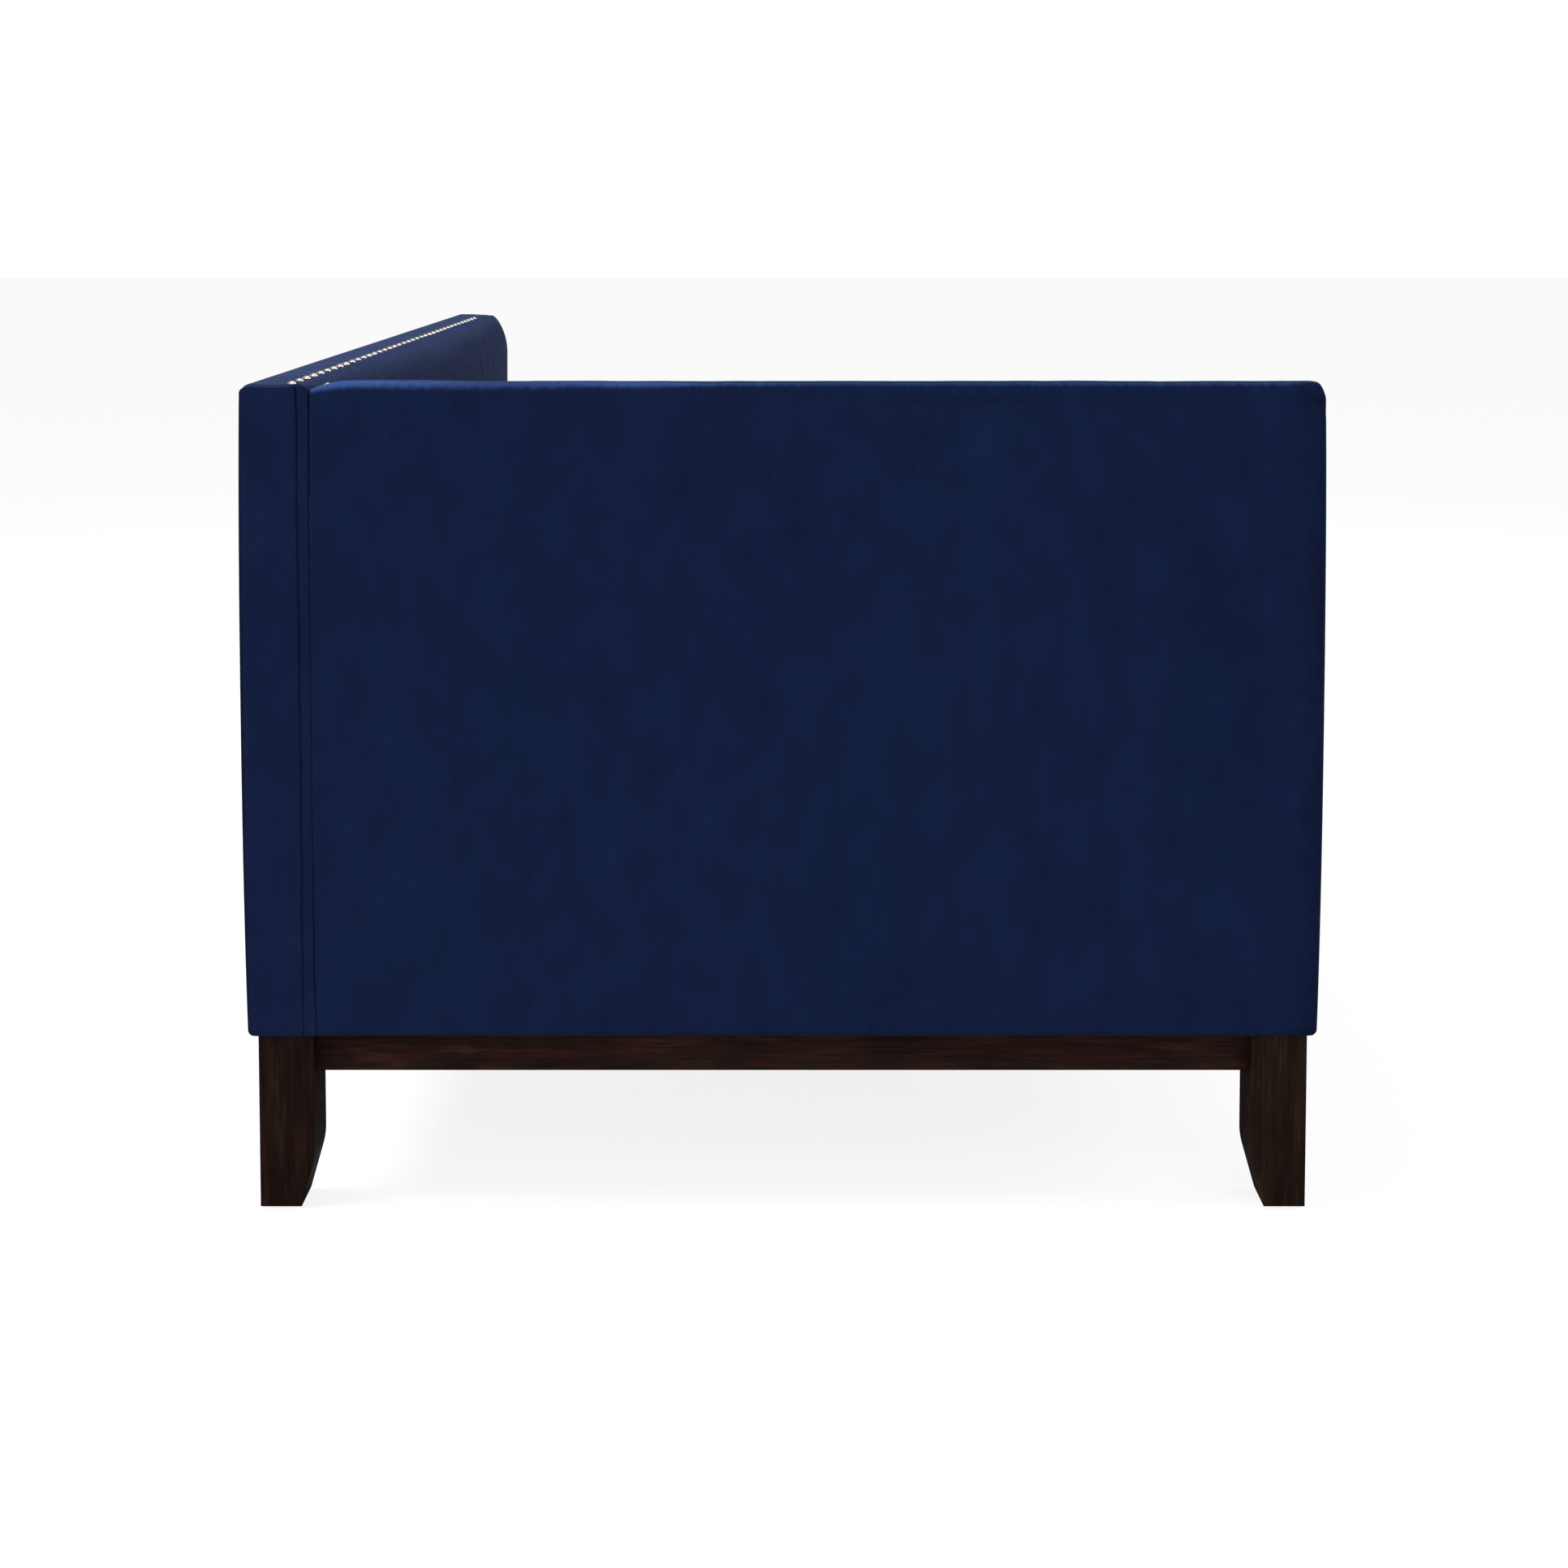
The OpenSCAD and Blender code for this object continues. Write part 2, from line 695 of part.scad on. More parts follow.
// Soft pad as a closed grid: flat behind, with a given thickness at each place.
// The grid runs along u and up v, and the thickness grows towards negative y.
module soft_pad(us, vs, thickness) {
    nu = len(us);
    nv = len(vs);
    face_points = [for (u = us) for (v = vs) [u, -thickness(u, v), v]];
    rear_points = [for (u = us) each [[u, 0, vs[0]], [u, 0, vs[nv - 1]]]];
    r0 = nu * nv;
    face = [for (i = [0 : nu - 2]) for (j = [0 : nv - 2])
        let (a = i * nv + j, b = a + nv)
        each [[a, a + 1, b + 1], [a, b + 1, b]]];
    rear = [for (i = [0 : nu - 2])
        let (a = r0 + 2 * i)
        each [[a, a + 2, a + 3], [a, a + 3, a + 1]]];
    floor_side = [for (i = [0 : nu - 2])
        let (a = i * nv, b = a + nv, c = r0 + 2 * i)
        each [[a, b, c + 2], [a, c + 2, c]]];
    top_side = [for (i = [0 : nu - 2])
        let (a = i * nv + nv - 1, b = a + nv, c = r0 + 2 * i + 1)
        each [[a, c + 2, b], [a, c, c + 2]]];
    first_end = concat([for (j = [0 : nv - 2]) [r0, j + 1, j]], [[r0, r0 + 1, nv - 1]]);
    last = (nu - 1) * nv;
    last_end = concat([for (j = [0 : nv - 2]) [r0 + 2 * nu - 2, last + j, last + j + 1]],
                      [[r0 + 2 * nu - 2, last + nv - 1, r0 + 2 * nu - 1]]);
    polyhedron(points = concat(face_points, rear_points),
               faces = concat(face, rear, floor_side, top_side, first_end, last_end));
}

// Heights of the pad's rows, close together in the roll at the top
function pad_rows(z0, z1) =
    concat([for (t = [0 : 0.125 : 1]) lerp(z0, z1 - pad_roll, t)],
           [for (a = [20, 40, 56, 70, 80, 87]) z1 - pad_roll + pad_roll * sin(a)],
           [z1]);

// Swelling of a stuffed pad between two seams, rising quickly from each seam
function swell(t) = 1 - pow(abs(2 * t - 1), 2.6);

// Share of the full thickness in the roll at the top
function roll_share(v, top) =
    let (s = max(0, (v - (top - pad_roll)) / pad_roll))
    sqrt(max(0, 1 - s * s));

// Soft upright folds that fade towards the top and the deck
function folds(u, v, start, pitch, z0, top) =
    let (t = (v - z0) / (top - z0),
         wave = pow(abs(cos(180 * (u - start) / pitch + 8 * sin(300 * t))), 9))
    fold_depth * wave * sin(180 * min(1, max(0, t * 0.9 + 0.1)));

module inside_back_pad() {
    start = arm_liner_in;
    count = round((x_open - start) / fold_pitch);
    pitch = (x_open - start) / count;
    us = concat([x_arm, start, start + 0.5],
                [for (i = [1 : count * 6]) start + (x_open - start) * i / (count * 6)]);
    full = function(u, v)
        let (across = (u - start) / (x_open - start), up = (v - deck_top) / (back_top - deck_top))
        pad_edge + pad_crown * swell(across) * swell(up * 0.8 + 0.1)
        - folds(u, v, start, pitch, deck_top, back_top);
    thickness = function(u, v)
        max(0.4, roll_share(v, back_top) * (u <= start ? squeezed_pad : full(u, v)));
    color(VELVET_LIGHT) {
        translate([0, back_liner_in, 0])
            soft_pad(us, pad_rows(deck_top, back_top), thickness);
        box_between([x_arm, arm_rear_y, frame_base], [arm_frame_in, back_liner_in, deck_top]);
    }
}

module inside_arm_pad() {
    rear = back_pad_face - cushion_gap;
    span = rear - y_front;
    count = round(span / fold_pitch);
    pitch = span / count;
    us = [for (i = [0 : count * 7]) span * i / (count * 7)];
    thickness = function(u, v)
        let (up = (v - deck_top) / (arm_top - deck_top))
        max(0.4, roll_share(v, arm_top) * (pad_edge + pad_crown * swell(u / span) * swell(up * 0.8 + 0.1)
            - folds(u, v, 0, pitch, deck_top, arm_top)));
    color(VELVET_LIGHT)
        translate([arm_liner_in, y_front, 0])
            rotate([0, 0, 90])
                soft_pad(us, pad_rows(deck_top, arm_top), thickness);
}

// One domed nailhead with its shank
module nailhead(top) {
    r = (nail_diameter * nail_diameter / 4 + nail_height * nail_height) / (2 * nail_height);
    intersection() {
        translate([0, 0, top + nail_height - r])
            sphere(r = r);
        upright([0, 0], top, top + nail_height + EPS, nail_diameter + 2 * EPS);
    }
    upright([0, 0], top - nail_shank_length, top + nail_height / 2, nail_shank_diameter);
}

module back_nailheads() {
    color(NAIL)
        for (spot = back_nails)
            translate([spot[0], spot[1], 0])
                nailhead(back_top);
}

module arm_nailheads() {
    color(NAIL)
        for (spot = arm_nails)
            translate([spot[0], spot[1], 0])
                nailhead(arm_top);
}

// Outline of the loose cushion at a share of its full size, with sides drawn in
function cushion_ring(half, share, draw, steps = 5) =
    let (r = cushion_corner,
         corners = [[1, 1, 0], [-1, 1, 90], [-1, -1, 180], [1, -1, 270]],
         ring = [for (k = [0 : 3])
             let (c = corners[k], n = corners[(k + 1) % 4],
                  at = [c[0] * (half[0] - r), c[1] * (half[1] - r)],
                  to = [n[0] * (half[0] - r), n[1] * (half[1] - r)],
                  corner_arc = arc(at, r, c[2], c[2] + 90, steps),
                  end = corner_arc[steps],
                  next = to + r * [cos(n[2]), sin(n[2])])
             each concat(corner_arc, bulge(end, next, -draw, 9))])
    [for (p = ring) p * share];

module seat_cushion() {
    lo = [arm_pad_face + cushion_gap, y_front];
    hi = [x_open, back_pad_face - cushion_gap];
    half = (hi - lo) / 2;
    mid = (lo + hi) / 2;
    z0 = deck_top + rest_gap;
    z1 = z0 + cushion_thickness;
    // Each ring: share of the plan, height, and how far its sides draw in
    rings = [[0.5, z0, 0], [0.985, z0, 0], [0.997, z0 + 5, 0], [1, z0 + 14, 1],
             [0.997, z0 + 24, cushion_draw * 0.6], [0.995, (z0 + z1) / 2, cushion_draw],
             [0.997, z1 - 24, cushion_draw * 0.6], [1, z1 - 14, 1], [0.997, z1 - 5, 0],
             [0.985, z1, 0], [0.93, z1 + cushion_crown * 0.35, 0], [0.8, z1 + cushion_crown * 0.7, 0],
             [0.55, z1 + cushion_crown * 0.93, 0], [0.25, z1 + cushion_crown, 0]];
    loops = [for (g = rings) [for (p = cushion_ring(half, g[0], g[2])) [p[0], p[1], g[1]]]];
    n = len(loops[0]);
    count = len(rings);
    walls = [for (k = [0 : count - 2]) for (i = [0 : n - 1])
        let (j = (i + 1) % n, a = k * n, b = a + n)
        each [[a + i, b + j, a + j], [a + i, b + i, b + j]]];
    base_centre = count * n;
    base = [for (i = [0 : n - 1]) [base_centre, i, (i + 1) % n]];
    crown = [for (i = [0 : n - 1])
        [base_centre + 1, (count - 1) * n + (i + 1) % n, (count - 1) * n + i]];
    color(VELVET_LIGHT)
        translate([mid[0], mid[1], 0])
            polyhedron(points = concat([for (ring = loops) each ring],
                                       [[0, 0, z0], [0, 0, z1 + cushion_crown]]),
                       faces = concat(walls, base, crown));
}

leg_front_arm();
leg_front_open();
leg_back_arm();
leg_back_open();
centre_support_leg();
felt_feet();
apron_front();
apron_back();
apron_arm_end();
apron_open_end();
leg_bolts();
dust_cover();
seat_rail_front();
seat_rail_back();
seat_rail_arm_end();
seat_rail_open_end();
centre_rail();
slat_ledgers();
seat_slats();
corner_blocks();
back_bottom_rail();
back_top_rail();
back_posts();
back_tack_rails();
back_lining_board();
arm_bottom_rail();
arm_top_rail();
arm_posts();
arm_tack_rails();
arm_lining_board();
frame_bolts();
outside_back_cover();
arm_outside_cover();
seat_border_cover();
seat_deck_pad();
inside_back_pad();
inside_arm_pad();
back_nailheads();
arm_nailheads();
seat_cushion();
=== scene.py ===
# An upholstered daybed in navy velvet: full back, one arm, nailhead trim, dark wooden base.
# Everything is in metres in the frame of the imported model: X along the length with the arm at
# the low end, Y from the front to the back, Z up from the floor.
import math

import bpy
import numpy as np
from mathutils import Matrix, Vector
from mathutils.kdtree import KDTree


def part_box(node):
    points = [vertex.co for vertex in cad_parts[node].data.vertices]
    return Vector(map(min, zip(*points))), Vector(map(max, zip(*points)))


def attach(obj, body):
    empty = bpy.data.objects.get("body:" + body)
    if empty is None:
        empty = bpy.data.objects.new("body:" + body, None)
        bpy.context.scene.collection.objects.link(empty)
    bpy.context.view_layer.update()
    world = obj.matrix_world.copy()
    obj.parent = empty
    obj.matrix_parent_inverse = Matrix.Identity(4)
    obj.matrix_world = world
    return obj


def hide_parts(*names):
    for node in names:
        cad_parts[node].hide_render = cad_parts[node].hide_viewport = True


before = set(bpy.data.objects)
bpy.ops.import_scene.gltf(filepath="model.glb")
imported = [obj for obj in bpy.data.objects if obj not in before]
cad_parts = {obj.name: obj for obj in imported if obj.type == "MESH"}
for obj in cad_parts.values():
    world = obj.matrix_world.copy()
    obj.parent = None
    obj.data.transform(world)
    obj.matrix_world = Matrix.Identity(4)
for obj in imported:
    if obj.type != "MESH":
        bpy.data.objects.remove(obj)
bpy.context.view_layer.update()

MM = 0.001

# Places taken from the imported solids
BACK_LO, BACK_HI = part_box("outside_back_cover")
ARM_LO, ARM_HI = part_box("arm_outside_cover")
DECK_LO, DECK_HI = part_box("seat_deck_pad")
ARM_PAD_LO, ARM_PAD_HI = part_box("inside_arm_pad")
CUSHION_LO, CUSHION_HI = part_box("seat_cushion")
BACK_NAILS_LO, BACK_NAILS_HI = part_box("back_nailheads")
ARM_NAILS_LO, ARM_NAILS_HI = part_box("arm_nailheads")

# How far a covered face bulges over its seams
CROWN = 3 * MM
# Sewn faces at the arm end, the open end, the back and the front
X_ARM = BACK_LO.x + CROWN
X_OPEN = BACK_HI.x - CROWN
Y_BACK = BACK_HI.y - CROWN
Y_FRONT = ARM_LO.y + CROWN
# Heights of the covered body's underside and tops, and of the deck
Z_BASE = BACK_LO.z
BACK_TOP = BACK_HI.z
ARM_CREST = ARM_HI.z
ARM_TOP = ARM_PAD_HI.z
DECK_TOP = DECK_HI.z
# Rear, inner and outer faces of the arm's frame, the face behind the back's pad, and both nail rows
ARM_REAR = ARM_HI.y
ARM_IN = ARM_HI.x
ARM_RAIL_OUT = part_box("arm_top_rail")[0].x
BACK_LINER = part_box("inside_back_pad")[1].y
NAIL_LINE = (BACK_NAILS_LO.y + BACK_NAILS_HI.y) / 2
ARM_NAIL_LINE = (ARM_NAILS_LO.x + ARM_NAILS_HI.x) / 2


# Materials

def new_material(name):
    """An empty node material with its Principled shader."""
    mat = bpy.data.materials.new(name)
    mat.use_nodes = True
    tree = mat.node_tree
    return mat, tree, tree.nodes["Principled BSDF"]


def noise_node(tree, scale, detail=2.0, rough=0.5, stretch=(1, 1, 1), offset=(0, 0, 0),
               distort=0.0):
    """Noise over object coordinates, stretched by a scale on each axis."""
    coord = tree.nodes.new("ShaderNodeTexCoord")
    mapping = tree.nodes.new("ShaderNodeMapping")
    mapping.inputs["Scale"].default_value = stretch
    mapping.inputs["Location"].default_value = offset
    tex = tree.nodes.new("ShaderNodeTexNoise")
    tex.inputs["Scale"].default_value = scale
    tex.inputs["Detail"].default_value = detail
    tex.inputs["Roughness"].default_value = rough
    tex.inputs["Distortion"].default_value = distort
    tree.links.new(coord.outputs["Object"], mapping.inputs["Vector"])
    tree.links.new(mapping.outputs["Vector"], tex.inputs["Vector"])
    return tex.outputs["Fac"]


def remap(tree, value, lo, hi, to_lo=0.0, to_hi=1.0):
    """A value moved from one range to another, clamped."""
    node = tree.nodes.new("ShaderNodeMapRange")
    for key, number in zip(("From Min", "From Max", "To Min", "To Max"), (lo, hi, to_lo, to_hi)):
        node.inputs[key].default_value = number
    tree.links.new(value, node.inputs["Value"])
    return node.outputs["Result"]


def math_node(tree, operation, *values):
    """A sum or the like of numbers and outputs."""
    node = tree.nodes.new("ShaderNodeMath")
    node.operation = operation
    for socket, value in zip(node.inputs, values):
        if isinstance(value, (int, float)):
            socket.default_value = value
        else:
            tree.links.new(value, socket)
    return node.outputs[0]


def blend_colours(tree, fac, a, b):
    """A mix of two colours, each a tuple or an output."""
    node = tree.nodes.new("ShaderNodeMix")
    node.data_type = "RGBA"
    tree.links.new(fac, node.inputs["Factor"])
    # Sockets 6 and 7 take the two colours, and output 2 gives the mixed colour
    for key, colour in ((6, a), (7, b)):
        if isinstance(colour, tuple):
            node.inputs[key].default_value = (*colour, 1)
        else:
            tree.links.new(colour, node.inputs[key])
    return node.outputs[2]


def add_bump(tree, shader, layers):
    """Stacked bump layers, each a height output, a strength and a distance in metres."""
    normal = None
    for height, strength, distance in layers:
        bump = tree.nodes.new("ShaderNodeBump")
        bump.inputs["Strength"].default_value = strength
        bump.inputs["Distance"].default_value = distance
        tree.links.new(height, bump.inputs["Height"])
        if normal is not None:
            tree.links.new(normal, bump.inputs["Normal"])
        normal = bump.outputs["Normal"]
    tree.links.new(normal, shader.inputs["Normal"])


def srgb(r, g, b):
    """Linear colour of an 8 bit sRGB triple."""
    def one(c):
        c = c / 255
        return c / 12.92 if c <= 0.04045 else ((c + 0.055) / 1.055) ** 2.4
    return (one(r), one(g), one(b))


def scaled(colour, factor):
    """A colour made darker or lighter."""
    return tuple(channel * factor for channel in colour)


# Velvet: two tones of its ground, its brushed pile, a painted highlight and painted shade
NAVY_DEEP = (srgb(14, 26, 55), srgb(19, 23, 54))
NAVY_LIFT = srgb(19, 31, 62)
VELVET_PAINTED_HIGHLIGHT = srgb(52, 80, 140)
VELVET_PAINTED_SHADE = srgb(5, 8, 18)
VELVET_SHEEN = (0.34, 0.52, 1.0, 1)
EVEN_BRUSH = (1, 1, 0.6)
LONG_BRUSH = (0.22, 1, 0.9)


def make_velvet(name, brush=EVEN_BRUSH, sheen=0.12):
    """Short-pile velvet: brushed patches, small flecks and pile, with a blue sheen at low angles.
    Brush stretches the patches along the way that the pile was stroked."""
    mat, tree, shader = new_material(name)
    patches = remap(tree, noise_node(tree, 2.2, 3, 0.55, brush, distort=0.4), 0.32, 0.68)
    brushed = remap(tree, noise_node(tree, 26, 3, 0.6, brush), 0.3, 0.7)
    flecks = remap(tree, noise_node(tree, 150, 2, 0.6, brush), 0.3, 0.7)
    pile = noise_node(tree, 1500, 2, 0.6)
    tint = remap(tree, noise_node(tree, 5, 2, 0.5, brush, offset=(3, 1, 2)), 0.35, 0.65)
    deep = blend_colours(tree, tint, NAVY_DEEP[0], NAVY_DEEP[1])
    base = blend_colours(tree, patches, deep, NAVY_LIFT)
    nap = blend_colours(tree, brushed, scaled(NAVY_DEEP[0], 0.8), scaled(NAVY_LIFT, 1.12))
    colour = blend_colours(tree, remap(tree, flecks, 0, 1, 0.2, 0.62), base, nap)
    # A mesh attribute paints a highlight where it is above 0 and shade where it is below 0
    painted_shading = tree.nodes.new("ShaderNodeAttribute")
    painted_shading.attribute_name = "painted_shading"
    grain = remap(tree, flecks, 0, 1, -0.12, 0.12)
    ragged = math_node(tree, "ADD", painted_shading.outputs["Fac"], grain)
    colour = blend_colours(tree, remap(tree, ragged, 0.12, 1.1), colour, VELVET_PAINTED_HIGHLIGHT)
    colour = blend_colours(tree, remap(tree, ragged, -0.12, -1.1), colour, VELVET_PAINTED_SHADE)
    tree.links.new(colour, shader.inputs["Base Color"])
    tree.links.new(remap(tree, flecks, 0, 1, 0.82, 0.96), shader.inputs["Roughness"])
    shader.inputs["Specular IOR Level"].default_value = 0.03
    shader.inputs["Sheen Weight"].default_value = sheen
    shader.inputs["Sheen Roughness"].default_value = 0.3
    shader.inputs["Sheen Tint"].default_value = VELVET_SHEEN
    add_bump(tree, shader, [(brushed, 0.2, 0.001), (flecks, 0.2, 0.0003), (pile, 0.25, 0.0003)])
    return mat


def make_wood(name, dark, light, along, gloss=0.6, specular=0.01, pale_share=0.0):
    """Stained or bare wood with clouds, streaks and pores running along one axis: 0, 1 or 2. The
    last argument gives how much of it, in short broken stretches, is made much paler."""
    mat, tree, shader = new_material(name)

    def grain(scale_along, scale_across):
        return tuple(scale_along if axis == along else scale_across for axis in range(3))

    coarse = grain(11, 75)
    clouds = remap(tree, noise_node(tree, 1.0, 3, 0.6, grain(9, 22), distort=0.6), 0.3, 0.7)
    streaks = remap(tree, noise_node(tree, 1.0, 4, 0.65, coarse, distort=0.8), 0.3, 0.7)
    pores = remap(tree, noise_node(tree, 1.0, 2, 0.6, grain(14, 450)), 0.36, 0.56)
    ruddy = remap(tree, noise_node(tree, 1.0, 2, 0.5, coarse, offset=(4, 1, 7)), 0.52, 0.72, 0, 0.65)
    pale = remap(tree, noise_node(tree, 1.0, 3, 0.6, coarse, offset=(9, 3, 2)), 0.56, 0.74, 0, 0.55)
    colour = blend_colours(tree, remap(tree, clouds, 0, 1, 0.1, 0.8), dark, light)
    colour = blend_colours(tree, remap(tree, streaks, 0, 1, 0.28, 0.0), colour, dark)
    red, green, blue = light
    colour = blend_colours(tree, ruddy, colour, (red * 1.35, green * 0.85, blue * 0.85))
    colour = blend_colours(tree, pale, colour, (red * 1.9, green * 1.75, blue * 1.5))
    colour = blend_colours(tree, remap(tree, pores, 0, 1, 0.5, 0.0), colour, scaled(dark, 0.6))
    if pale_share:
        broken = remap(tree, noise_node(tree, 45, 4, 0.7, offset=(1, 2, 3)), 0.5, 0.62, 0, pale_share)
        colour = blend_colours(tree, broken, colour, scaled(light, 3.0))
    tree.links.new(colour, shader.inputs["Base Color"])
    tree.links.new(remap(tree, streaks, 0, 1, gloss - 0.05, gloss + 0.1), shader.inputs["Roughness"])
    shader.inputs["Specular IOR Level"].default_value = specular
    add_bump(tree, shader, [(streaks, 0.12, 0.0006), (pores, 0.2, 0.0002)])
    return mat


def make_nail_metal():
    """Polished pale metal, with painted dark reflections on each dome's rim and back side."""
    mat, tree, shader = new_material("nail_metal")
    geometry = tree.nodes.new("ShaderNodeNewGeometry")
    split = tree.nodes.new("ShaderNodeSeparateXYZ")
    tree.links.new(geometry.outputs["Normal"], split.inputs[0])
    # Painted reflections by the way each part of a dome faces: pale on top, dark brown at the rim
    # and on the side towards the back, with a painted glint at the back edge
    rim = remap(tree, split.outputs["Z"], 0.3, 0.62)
    side = remap(tree, split.outputs["Y"], 0.0, 0.16)
    edge = remap(tree, split.outputs["Y"], 0.6, 0.7, 0, 0.55)
    painted_front_reflection = blend_colours(tree, rim, srgb(96, 70, 48), srgb(248, 240, 226))
    painted_back_reflection = blend_colours(tree, edge, srgb(52, 34, 22), srgb(190, 176, 160))
    colour = blend_colours(tree, side, painted_front_reflection, painted_back_reflection)
    tree.links.new(colour, shader.inputs["Base Color"])
    shader.inputs["Metallic"].default_value = 1.0
    wear = noise_node(tree, 900, 2)
    tree.links.new(remap(tree, wear, 0.3, 0.7, 0.1, 0.22), shader.inputs["Roughness"])
    return mat


def make_plain(name, dark, light, scale, rough=0.8, metallic=0.0, specular=0.5):
    """A simple mottled material for hidden and small pieces."""
    mat, tree, shader = new_material(name)
    spots = remap(tree, noise_node(tree, scale, 4, 0.6), 0.3, 0.7)
    tree.links.new(blend_colours(tree, spots, dark, light), shader.inputs["Base Color"])
    tree.links.new(remap(tree, spots, 0, 1, rough - 0.08, rough), shader.inputs["Roughness"])
    shader.inputs["Metallic"].default_value = metallic
    shader.inputs["Specular IOR Level"].default_value = specular
    add_bump(tree, shader, [(spots, 0.3, 0.0003)])
    return mat


# Dark and light shade of each wood
ESPRESSO = (srgb(19, 13, 10), srgb(37, 27, 22))
# A lighter copy of the espresso for the front legs: painted light, for the stronger light on them
ESPRESSO_LIT_COPY = (srgb(24, 17, 13), srgb(48, 36, 29))
ESPRESSO_RAIL = (srgb(28, 18, 15), srgb(52, 36, 31))
PINE = (srgb(186, 148, 98), srgb(218, 186, 138))

velvet = make_velvet("navy_velvet")
velvet_long = make_velvet("navy_velvet_lengthwise", LONG_BRUSH)
velvet_inside = make_velvet("navy_velvet_inside", LONG_BRUSH, sheen=0.035)
deck_cloth = make_plain("deck_cloth", srgb(14, 22, 46), srgb(22, 33, 64), 1100, 0.95, specular=0.06)
wood_up = make_wood("espresso_wood_upright", *ESPRESSO, 2)
# The front legs take the lighter copy of the espresso, as painted light
wood_lit_front = make_wood("espresso_wood_front_legs", *ESPRESSO_LIT_COPY, 2)
wood_x = make_wood("espresso_wood_long", *ESPRESSO_RAIL, 0)
wood_y = make_wood("espresso_wood_cross", *ESPRESSO_RAIL, 1)
pale_edge = make_wood("espresso_wood_worn_edge", *ESPRESSO, 2, pale_share=0.8)
pine_x = make_wood("pine_long", *PINE, 0, gloss=0.7, specular=0.3)
pine_y = make_wood("pine_cross", *PINE, 1, gloss=0.7, specular=0.3)
pine_z = make_wood("pine_upright", *PINE, 2, gloss=0.7, specular=0.3)
nail_metal = make_nail_metal()
board = make_plain("lining_board", srgb(140, 112, 76), srgb(170, 138, 98), 300)
steel = make_plain("zinc_steel", srgb(140, 142, 146), srgb(178, 180, 184), 500, 0.4, 1.0)
cambric = make_plain("black_cambric", srgb(14, 14, 16), srgb(30, 30, 33), 900, 0.95, specular=0.1)
felt = make_plain("felt", srgb(70, 64, 58), srgb(104, 96, 88), 1200, 0.95, specular=0.1)

CAD_MATERIALS = {
    wood_up: ["leg_back_arm", "leg_back_open"],
    wood_lit_front: ["leg_front_arm", "leg_front_open"],
    wood_x: ["apron_front", "apron_back"],
    wood_y: ["apron_arm_end", "apron_open_end"],
    pine_x: ["seat_rail_front", "seat_rail_back", "centre_rail", "slat_ledgers", "back_bottom_rail",
             "back_top_rail", "back_tack_rails"],
    pine_y: ["seat_rail_arm_end", "seat_rail_open_end", "seat_slats", "arm_bottom_rail",
             "arm_top_rail", "arm_tack_rails"],
    pine_z: ["centre_support_leg", "corner_blocks", "back_posts", "arm_posts"],
    nail_metal: ["back_nailheads", "arm_nailheads"],
    board: ["back_lining_board", "arm_lining_board"],
    steel: ["leg_bolts", "frame_bolts"],
    cambric: ["dust_cover"],
    felt: ["felt_feet"],
}
STAINED = (wood_up, wood_lit_front, wood_x, wood_y)
EASED_EDGE = 1.8 * MM


def dress_node(node_name, material):
    """Give a carried-over piece its material, and stained wood its eased edges, paler in broken
    stretches.
    """
    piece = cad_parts[node_name]
    piece.data.materials.clear()
    piece.data.materials.append(material)
    if material in STAINED:
        piece.data.materials.append(pale_edge)
        ease = piece.modifiers.new("eased_edges", "BEVEL")
        ease.width = EASED_EDGE
        ease.segments = 2
        ease.material = 1
        ease.limit_method = "ANGLE"
        ease.angle_limit = math.radians(30)


for material, node_names in CAD_MATERIALS.items():
    for node_name in node_names:
        dress_node(node_name, material)


# Mesh helpers

def new_object(name, points, faces):
    """A mesh object in the scene."""
    mesh = bpy.data.meshes.new(name)
    mesh.from_pydata([tuple(place) for place in points], [], faces)
    made = bpy.data.objects.new(name, mesh)
    bpy.context.scene.collection.objects.link(made)
    return made


def stops(lo, hi, step, low, high):
    """Places along one axis: even in the middle, closer together where the edges are rounded."""
    count = max(2, int(round((hi - lo - low - high) / step)) + 1)
    turns = 1 - np.tan(np.radians(np.linspace(45, 0, 6)))[:-1]
    middle = np.linspace(lo + low, hi - high, count)
    return np.concatenate([lo + low * turns, middle, hi - high * turns[::-1]])


def box_grid(places):
    """Points and faces of a box whose grid lines stand at the given places on each axis."""
    points, quads, start = [], [], 0
    for axis in range(3):
        u, v = (axis + 1) % 3, (axis + 2) % 3
        grid_u, grid_v = np.meshgrid(places[u], places[v], indexing="ij")
        for side in (0, -1):
            block = np.zeros(grid_u.shape + (3,))
            block[..., axis], block[..., u], block[..., v] = places[axis][side], grid_u, grid_v
            points.append(block.reshape(-1, 3))
            index = start + np.arange(grid_u.size).reshape(grid_u.shape)
            loop = [index[:-1, :-1], index[1:, :-1], index[1:, 1:], index[:-1, 1:]]
            if side == 0:
                loop.reverse()
            quads.append(np.stack([part.ravel() for part in loop], 1))
            start += grid_u.size
    # Points that two sides share become one
    points = np.concatenate(points)
    shared = np.unique(np.round(points, 7), axis=0, return_index=True, return_inverse=True)
    return points[shared[1]], shared[2].reshape(-1)[np.concatenate(quads)]


def round_off(points, lo, hi, low, high):
    """Box points moved onto rounded edges. An edge between two faces becomes a quarter ellipse, as
    wide as one face's rounding and as high as the other's."""
    low, high = np.maximum(low, 1e-6), np.maximum(high, 1e-6)
    inner = np.clip(points, lo + low, hi - high)
    margin = np.where(points < inner, low, high)
    reach = (points - inner) / margin
    length = np.linalg.norm(reach, axis=1, keepdims=True)
    return inner + margin * reach / np.maximum(length, 1e-9)


